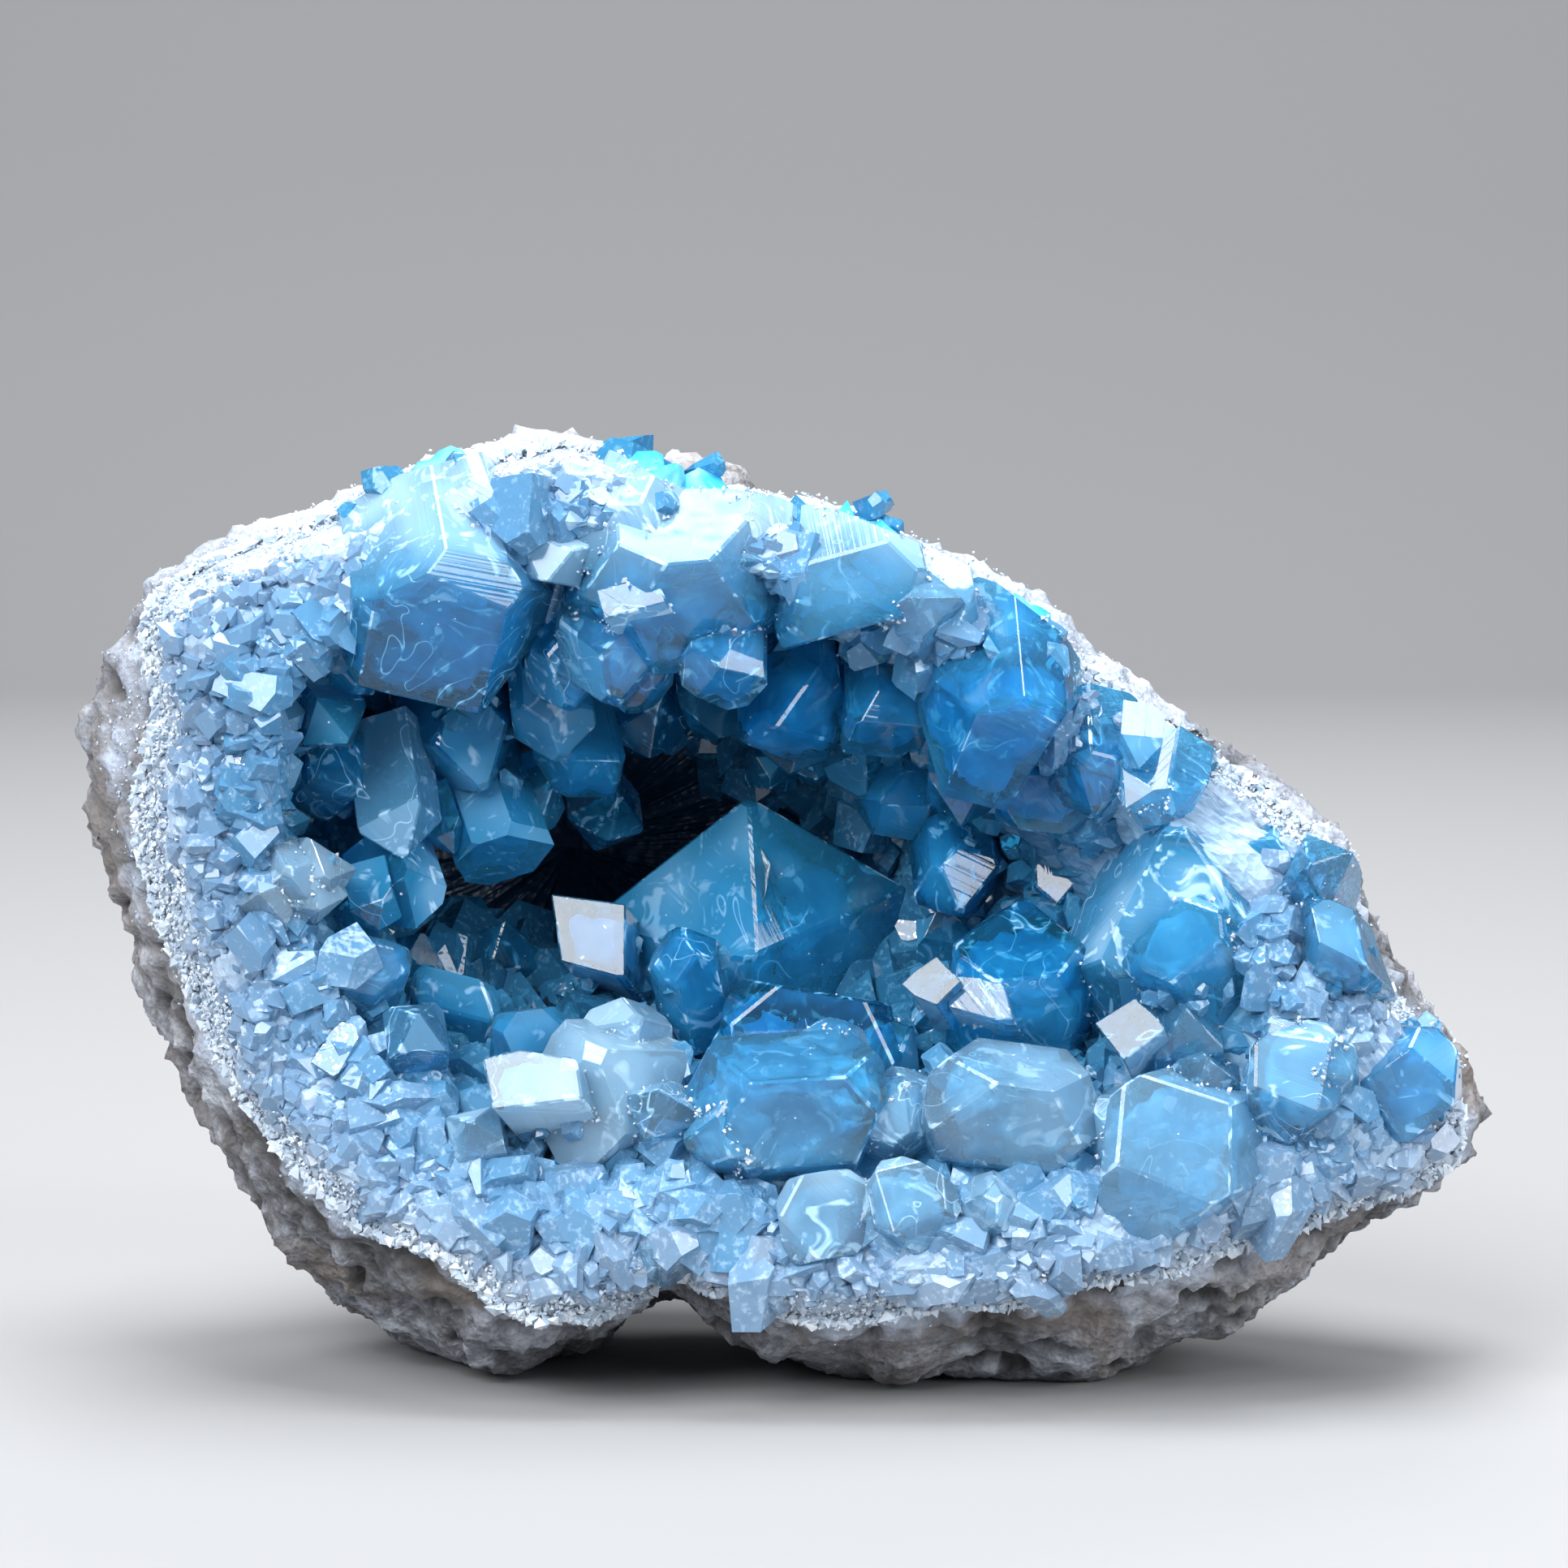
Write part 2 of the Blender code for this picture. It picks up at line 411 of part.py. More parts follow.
def crystal_planes(form, a, b, chance):
    """Cutting planes of one crystal: outward direction and distance from the tip, growing along +Z."""
    planes = []
    if form == GIANT:
        sides = ((-0.894, -1.02), (-0.8, 0.95), (0.675, -0.96), (0.72, 0.9))
        for su, sv in sides:
            planes.append((Vector((su, sv, 1.0)).normalized(), 0.0))
            corner = Vector((1 / a * math.copysign(1, su), 1 / b * math.copysign(1, sv), 0))
            planes.append((corner.normalized(), 1 / corner.length))
        planes.append((Vector((0.03, -0.06, 1)).normalized(), -0.9))
        return planes
    if form == TABLET:
        for turn in (0.15, 1.35, 3.3, 4.6):
            turn += chance.uniform(-0.2, 0.2)
            side = Vector((math.cos(turn), math.sin(turn), 0))
            reach = a if abs(side.x) > abs(side.y) else b
            planes.append((side, reach * chance.uniform(0.75, 0.95)))
        planes.append((Vector((chance.uniform(-0.08, 0.08), chance.uniform(-0.08, 0.08), 1)).normalized(), 0.0))
        return planes
    if a < SMALL_WIDTH / 2:
        for turn in (0.1, 1.57, 3.24, 4.71):
            turn += chance.uniform(-0.2, 0.2)
            steep = chance.uniform(0.76, 1.0)
            side = Vector((math.cos(turn), math.sin(turn), 0))
            planes.append((side * math.sin(steep) + Vector((0, 0, math.cos(steep))), chance.uniform(0.0, 0.2) * a))
        return planes
    lean = math.atan2(a, b)
    for su, sv in ((1, 1), (-1, 1), (-1, -1), (1, -1)):
        turn = math.pi / 2 - lean + chance.uniform(-0.14, 0.14)
        side = Vector((su * math.cos(turn), sv * math.sin(turn), 0))
        full = a * abs(side.x) + b * abs(side.y)
        planes.append((side, full * chance.uniform(*SIDE_SHARES)))
        if form == PYRAMID:
            steep = chance.uniform(0.76, 1.0)
            rise = Vector((side.x * math.sin(steep), side.y * math.sin(steep), math.cos(steep)))
            planes.append((rise, chance.uniform(0.0, 0.12) * a))
        if form == BLOCK:
            steep = chance.uniform(*RIM_SLANTS)
            rise = Vector((side.x * math.sin(steep), side.y * math.sin(steep), math.cos(steep)))
            planes.append((rise, chance.uniform(0.3, 0.7) * full * math.sin(steep)))
    if form == CHISEL:
        for sign in (1, -1):
            steep = chance.uniform(0.72, 0.95)
            planes.append((Vector((0, sign * math.sin(steep), math.cos(steep))), chance.uniform(0, 0.1) * b))
            steep = chance.uniform(0.7, 0.95)
            planes.append((Vector((sign * math.sin(steep), 0, math.cos(steep))), chance.uniform(0.25, 0.5) * a))
    if form == BLOCK:
        planes.append((Vector((chance.uniform(-0.16, 0.16), chance.uniform(-0.16, 0.16), 1)).normalized(), 0.0))
    if form == PYRAMID:
        top = Vector((chance.uniform(-0.2, 0.2), chance.uniform(-0.2, 0.2), 1)).normalized()
        planes.append((top, -0.08 * a))
    return planes


def stand(tip, grows, roll):
    """The matrix that stands a crystal at its tip, growing along a direction."""
    up = Vector(grows).normalized()
    side = Vector((0, 1, 0)).cross(up)
    side = side if side.length > 0.2 else Vector((1, 0, 0))
    side = (side - up * side.dot(up)).normalized()
    if side.x < 0:
        side = -side
    other = up.cross(side)
    frame = Matrix((side, other, up)).transposed().to_4x4()
    return Matrix.Translation(Vector(tip)) @ frame @ Matrix.Rotation(math.radians(roll), 4, "Z")


def add_crystal(shape, tip, grows, width, thick, length, form, roll, seed):
    """Cuts a box into one crystal and adds it to the shape."""
    a, b = width / 2, thick / 2
    one = bmesh.new()
    bmesh.ops.create_cube(one, size=1.0)
    bmesh.ops.scale(one, vec=(width, thick, length), verts=one.verts)
    bmesh.ops.translate(one, vec=(0, 0, 0.15 * a - length / 2), verts=one.verts)
    for direction, distance in crystal_planes(form, a, b, random.Random(seed)):
        everything = one.verts[:] + one.edges[:] + one.faces[:]
        cut = bmesh.ops.bisect_plane(one, geom=everything, dist=1e-5, plane_co=direction * distance,
                                     plane_no=direction, clear_outer=True)
        edges = [item for item in cut["geom_cut"] if isinstance(item, bmesh.types.BMEdge)]
        if len(edges) > 2:
            bmesh.ops.contextual_create(one, geom=edges)
    bmesh.ops.remove_doubles(one, verts=one.verts, dist=0.02)
    bmesh.ops.recalc_face_normals(one, faces=one.faces)
    one.transform(Matrix.Scale(MM, 4) @ stand(tip, grows, roll))
    mesh = bpy.data.meshes.new("one_crystal")
    one.to_mesh(mesh)
    one.free()
    shape.from_mesh(mesh)
    bpy.data.meshes.remove(mesh)


def partners():
    """Smaller crystals grown onto the flanks of the broad ones: owner, then as in the table."""
    chance = random.Random(23)
    made = []
    for owner, (_, tip, grows, width, thick, length, form, roll) in enumerate(CRYSTALS):
        if width < PARTNER_WIDTH or form == GIANT:
            continue
        turned = stand(tip, grows, roll)
        for sign in ((1, -1) if width > PAIR_WIDTH else (1,)):
            size = width * chance.uniform(*PARTNER_SHARES)
            aside = chance.uniform(-0.25, 0.25) * thick / width
            place = Vector((sign * PARTNER_OFFSET, aside, -chance.uniform(0.12, 0.3))) * width
            lean = turned.to_3x3() @ Vector((sign * chance.uniform(0.1, 0.4), chance.uniform(-0.3, 0.3), 1.0))
            made.append((owner, turned @ place, lean, size, size * chance.uniform(0.7, 0.95), length * 0.9,
                         chance.choice((PYRAMID, BLOCK, CHISEL)), roll + chance.uniform(-40, 40)))
    return made


def scattered():
    """Crystals between the placed ones: tip, direction, width, thickness, length, form, roll."""
    chance = random.Random(11)
    taken = []
    for _, tip, grows, width, thick, length, _, _ in CRYSTALS:
        along = Vector(grows).normalized()
        for back in range(0, int(length * 0.7), 4):
            taken.append((Vector(tip) - along * (back + width * 0.3), (width + thick) * 0.25))
    made = []
    for _ in range(SCATTER_TRIES):
        if len(made) >= SCATTER_MOST:
            break
        angle = chance.uniform(-math.pi, math.pi)
        way = chance.uniform(0.85, 1.9) if chance.random() < 0.3 else chance.uniform(1.9, 4.9)
        low, high = BAND_WIDTHS if way < 1.9 else HOLLOW_WIDTHS
        width = chance.uniform(low, high)
        base = face_point(angle, way)
        if any((base - other).length < reach + width * 0.42 for other, reach in taken):
            continue
        out = face_normal(angle, way)
        lean = Vector((chance.uniform(-0.4, 0.4), chance.uniform(-0.5, 0.1), chance.uniform(-0.4, 0.4)))
        grows = (out + lean).normalized()
        taken.append((base, width * 0.45))
        tip = base + out * width * (chance.uniform(0.15, 0.4) if way < 1.9 else chance.uniform(0.35, 0.75))
        form = chance.choice((PYRAMID, PYRAMID, CHISEL, BLOCK))
        made.append((tip, grows, width, width * chance.uniform(0.7, 0.95), width * 1.7, form, chance.uniform(0, 90)))
    return made


def skin(angle, depth):
    """A point on the outside of the rock at a depth, and the direction away from the rock there."""
    edge, outline = profile(angle)[:2]
    stations = [(edge[0], edge[1]), (between(1.0, edge[0], 0.62 ** 1.6), between(outline, edge[1], 0.62)),
                (1.0, outline)] + [(share, back) for share, back, _ in ROCK_BACK] + [(0.0, ROCK_END)]
    for (near, start), (far, end) in zip(stations, stations[1:]):
        if start <= depth <= end:
            break
    share = between(near, far, (depth - start) / (end - start))
    reach = outline_radius(angle)
    slope = Vector((end - start, (near - far) * reach)).normalized()
    away = Vector((math.cos(angle) * slope.x, slope.y, math.sin(angle) * slope.x))
    return spot(angle, share, depth, 0.2 * smooth(min(max((depth - 8) / 22, 0.0), 1.0))), away


def make_rock(group, cutters):
    """The bowl of rock: loft, lumps, pits, the hollow and the flat spots it stands on."""
    rock = loft("rock_matrix", rock_rings(), middle(ROCK_END, 0.5), middle(-30, 0.0), group)
    for index, (degrees, depth, radius, sunk) in enumerate(LUMPS):
        place, away = skin(math.radians(degrees), depth)
        boolean(rock, boulder("lump_%02d" % index, place - away * radius * sunk, radius, cutters), "UNION")
    for index, (degrees, depth, radius) in enumerate(PITS):
        place, away = skin(math.radians(degrees), depth)
        boolean(rock, boulder("pit_%02d" % index, place + away * radius * 0.4, radius, cutters), "DIFFERENCE")
    plug = loft("bowl_cut", plug_rings(0.0, 0.0), middle(INNER_END, 0.5), middle(-48, 0.0), cutters)
    boolean(rock, plug, "DIFFERENCE")
    floor = box("table_cut", (0, 0, -20), (300, 200, 40), cutters)
    boolean(rock, floor, "DIFFERENCE")
    return rock


def boulder(name, place, radius, group):
    """A rough ball."""
    shape = bmesh.new()
    bmesh.ops.create_icosphere(shape, subdivisions=2, radius=radius)
    for vert in shape.verts:
        vert.co = rumple(vert.co, vert.co.normalized(), radius * 0.12, radius * 0.7 + place.x * 0.01)
    shape.transform(Matrix.Scale(MM, 4) @ Matrix.Translation(place))
    mesh = bpy.data.meshes.new(name)
    shape.to_mesh(mesh)
    shape.free()
    made = bpy.data.objects.new(name, mesh)
    made.display_type = "WIRE"
    group.objects.link(made)
    return made


def box(name, place, size, group):
    shape = bmesh.new()
    bmesh.ops.create_cube(shape, size=1.0)
    bmesh.ops.scale(shape, vec=size, verts=shape.verts)
    shape.transform(Matrix.Scale(MM, 4) @ Matrix.Translation(place))
    mesh = bpy.data.meshes.new(name)
    shape.to_mesh(mesh)
    shape.free()
    made = bpy.data.objects.new(name, mesh)
    made.display_type = "WIRE"
    group.objects.link(made)
    return made


def make_crust(group, cutters):
    """The crust: its base, and all crystals trimmed to the inside of the bowl and grown into it."""
    crust = loft("crystal_crust", crust_rings(), middle(INNER_END - GAP, 0.5), middle(HOLLOW_END, 1.0), group)
    shape = bmesh.new()
    for seed, (_, tip, grows, width, thick, length, form, roll) in enumerate(CRYSTALS):
        add_crystal(shape, tip, grows, width, thick, length, form, roll, 100 + seed)
    for seed, (_, tip, grows, width, thick, length, form, roll) in enumerate(partners()):
        add_crystal(shape, tip, grows, width, thick, length, form, roll, 500 + seed)
    for seed, (tip, grows, width, thick, length, form, roll) in enumerate(scattered()):
        add_crystal(shape, tip, grows, width, thick, length, form, roll, 900 + seed)
    mesh = bpy.data.meshes.new("crystals")
    shape.to_mesh(mesh)
    shape.free()
    crystals = bpy.data.objects.new("crystals", mesh)
    crystals.display_type = "WIRE"
    cutters.objects.link(crystals)
    limit = loft("mould", plug_rings(GAP + 0.7, 0.012), middle(INNER_END - 2, 0.5), middle(-48.5, 0.0), cutters)
    boolean(crystals, limit, "INTERSECT", own=True)
    boolean(crust, crystals, "UNION", own=True)
    return crust


def drop_loose(shape):
    """Removes anything that isn't joined to the largest body."""
    left, bodies = set(shape.faces), []
    while left:
        body, edge_of_body = set(), [left.pop()]
        while edge_of_body:
            face = edge_of_body.pop()
            body.add(face)
            for edge in face.edges:
                for other in edge.link_faces:
                    if other in left and len(edge.link_faces) == 2:
                        left.discard(other)
                        edge_of_body.append(other)
        bodies.append(body)
    bodies.sort(key=len)
    for body in bodies[:-1]:
        bmesh.ops.delete(shape, geom=list(body), context="FACES")


def tidy(thing):
    """Joins the flat faces that the Booleans split, and leaves triangles."""
    shape = bmesh.new()
    shape.from_mesh(thing.data)
    drop_loose(shape)
    bmesh.ops.remove_doubles(shape, verts=shape.verts, dist=0.000002)
    bmesh.ops.dissolve_limit(shape, angle_limit=math.radians(1.0), verts=shape.verts, edges=shape.edges)
    bmesh.ops.triangulate(shape, faces=shape.faces)
    shape.to_mesh(thing.data)
    shape.free()


def centre_on_floor(things):
    """Moves everything so that the middle of the bottom of the whole is the origin."""
    points = [vert.co for thing in things for vert in thing.data.vertices]
    low = [min(point[i] for point in points) for i in range(3)]
    high = [max(point[i] for point in points) for i in range(3)]
    move = Vector((-(low[0] + high[0]) / 2, -(low[1] + high[1]) / 2, -low[2]))
    for thing in things:
        thing.data.transform(Matrix.Translation(move))


def build():
    clear_scene()
    group = collection("celestite_druse")
    cutters = collection("cutters", cutters=True)
    rock = make_rock(group, cutters)
    crust = make_crust(group, cutters)
    tidy(rock)
    tidy(crust)
    centre_on_floor((rock, crust))
    rock.data.materials.clear()
    crust.data.materials.clear()
    rock.data.materials.append(material("grey_rock", (0.25, 0.24, 0.23), 0.9))
    crust.data.materials.append(material("celestite", (0.35, 0.62, 0.85), 0.15, 0.6, 1.62))


build()
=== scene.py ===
import math
import random

import bmesh
import bpy
import numpy as np
from mathutils import Matrix, Vector, noise


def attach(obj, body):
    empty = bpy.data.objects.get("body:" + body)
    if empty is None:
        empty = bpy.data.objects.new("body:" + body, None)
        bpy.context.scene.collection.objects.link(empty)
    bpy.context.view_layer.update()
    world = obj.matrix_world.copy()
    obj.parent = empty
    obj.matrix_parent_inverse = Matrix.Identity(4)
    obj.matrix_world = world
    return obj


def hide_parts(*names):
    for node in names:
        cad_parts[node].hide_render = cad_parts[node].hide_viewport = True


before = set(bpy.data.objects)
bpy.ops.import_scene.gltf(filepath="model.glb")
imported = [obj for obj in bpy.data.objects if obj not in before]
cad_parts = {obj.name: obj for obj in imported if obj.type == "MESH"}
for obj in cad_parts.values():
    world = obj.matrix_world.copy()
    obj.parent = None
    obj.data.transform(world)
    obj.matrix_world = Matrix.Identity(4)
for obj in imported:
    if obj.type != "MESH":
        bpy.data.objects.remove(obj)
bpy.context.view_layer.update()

# The scene is in metres and the design in millimetres: x to the right, y to the back, z up.
MM = 0.001
# Clearance between the rock and the crust.
GAP = 0.45

# The outline of the stone as seen from the front, round from the right tip, in millimetres (x, z).
OUTLINE = (
    (94, 35), (90, 45), (83, 53), (80, 59), (78, 67), (74, 73), (64, 81), (53, 88), (43, 95), (35, 102),
    (27, 108), (16, 113), (8, 116), (-6, 119), (-14, 119), (-19, 122), (-24, 125), (-30, 126), (-39, 124),
    (-50, 121), (-58, 117), (-78, 111), (-84, 107), (-88, 103), (-91, 93), (-94, 89), (-95, 80),
    (-94, 73), (-87, 53), (-85, 44), (-75, 23), (-69, 15), (-63, 7), (-55, 2), (-47, -1), (-38, -2), (-29, 0),
    (-19, 7), (-16, 10), (-14, 8), (-10, 4), (-3, 3), (2, 0), (10, -1), (23, -1), (40, -2), (47, -1),
    (51, 2), (63, 7), (69, 11), (74, 16), (84, 22), (91, 26), (94, 30))
CENTRE = (-7.2, 61.6)
POLE = (-30.0, 67.0)

# By direction from the centre (degrees), shares of the outline and depths: edge of the rock,
# then the face of the crust: crest, lip of the hollow and three rings down its wall.
PROFILE = (
    (-180, (0.90, -20), (0.80, -30), (0.64, -29), (0.58, -14), (0.48, 4), (0.28, 20)),
    (-164, (0.87, -24), (0.80, -32), (0.62, -30), (0.54, -16), (0.42, 2), (0.25, 20)),
    (-143, (0.80, -32), (0.72, -37), (0.58, -34), (0.47, -20), (0.36, -2), (0.22, 18)),
    (-133, (0.72, -37), (0.66, -39), (0.54, -36), (0.43, -22), (0.33, -5), (0.20, 17)),
    (-115, (0.78, -37), (0.70, -41), (0.56, -38), (0.44, -24), (0.33, -6), (0.20, 16)),
    (-102, (0.855, -30), (0.74, -40), (0.60, -38), (0.46, -24), (0.34, -6), (0.20, 16)),
    (-90, (0.79, -36), (0.72, -41), (0.60, -39), (0.47, -25), (0.34, -7), (0.20, 15)),
    (-77, (0.80, -36), (0.72, -42), (0.60, -40), (0.47, -26), (0.35, -8), (0.20, 15)),
    (-54, (0.745, -38), (0.68, -42), (0.58, -40), (0.47, -27), (0.36, -9), (0.20, 15)),
    (-46, (0.75, -38), (0.69, -42), (0.60, -40), (0.49, -28), (0.37, -10), (0.22, 15)),
    (-36, (0.81, -35), (0.74, -40), (0.64, -40), (0.52, -29), (0.40, -10), (0.24, 15)),
    (-27, (0.89, -28), (0.80, -36), (0.70, -38), (0.57, -29), (0.44, -10), (0.26, 15)),
    (-20, (0.955, -17), (0.88, -28), (0.78, -34), (0.64, -28), (0.50, -8), (0.30, 16)),
    (-8, (0.95, -17), (0.89, -27), (0.79, -32), (0.66, -22), (0.52, -4), (0.32, 17)),
    (0, (0.95, -18), (0.89, -26), (0.79, -30), (0.68, -18), (0.55, -2), (0.34, 18)),
    (30, (0.955, -18), (0.90, -25), (0.80, -28), (0.70, -14), (0.56, 2), (0.34, 20)),
    (60, (0.955, -18), (0.91, -26), (0.82, -30), (0.70, -12), (0.56, 4), (0.34, 21)),
    (90, (0.975, -17), (0.92, -27), (0.82, -31), (0.69, -12), (0.55, 4), (0.33, 21)),
    (120, (0.975, -17), (0.92, -28), (0.81, -33), (0.67, -13), (0.54, 4), (0.32, 21)),
    (150, (0.965, -17), (0.89, -29), (0.72, -32), (0.62, -13), (0.50, 4), (0.30, 21)),
    (163, (0.88, -19), (0.80, -29), (0.66, -30), (0.60, -14), (0.50, 4), (0.30, 21)),
    (180, (0.90, -20), (0.80, -30), (0.64, -29), (0.58, -14), (0.48, 4), (0.28, 20)))
# The back of the crust: share of the outline, depth, share of the way to the back's own middle.
INNER = ((0.86, 9, 0.0), (0.68, 26, 0.2), (0.3, 38, 0.5))
INNER_END = 40
HOLLOW_END = 27
RIM = 0.035

# Forms: four tip faces, a ridge, a flat top with a worn rim, a plain flat top, and the large one.
PYRAMID, CHISEL, BLOCK, TABLET, GIANT = "pyramid", "chisel", "block", "tablet", "giant"
# Share of the half width at which the prism faces lie; slants of a block's rim and of tip faces (radians).
SIDE_SHARES = (0.6, 0.88)
RIM_SLANTS = (0.68, 1.15)
TIP_SLANTS = (0.76, 1.0)
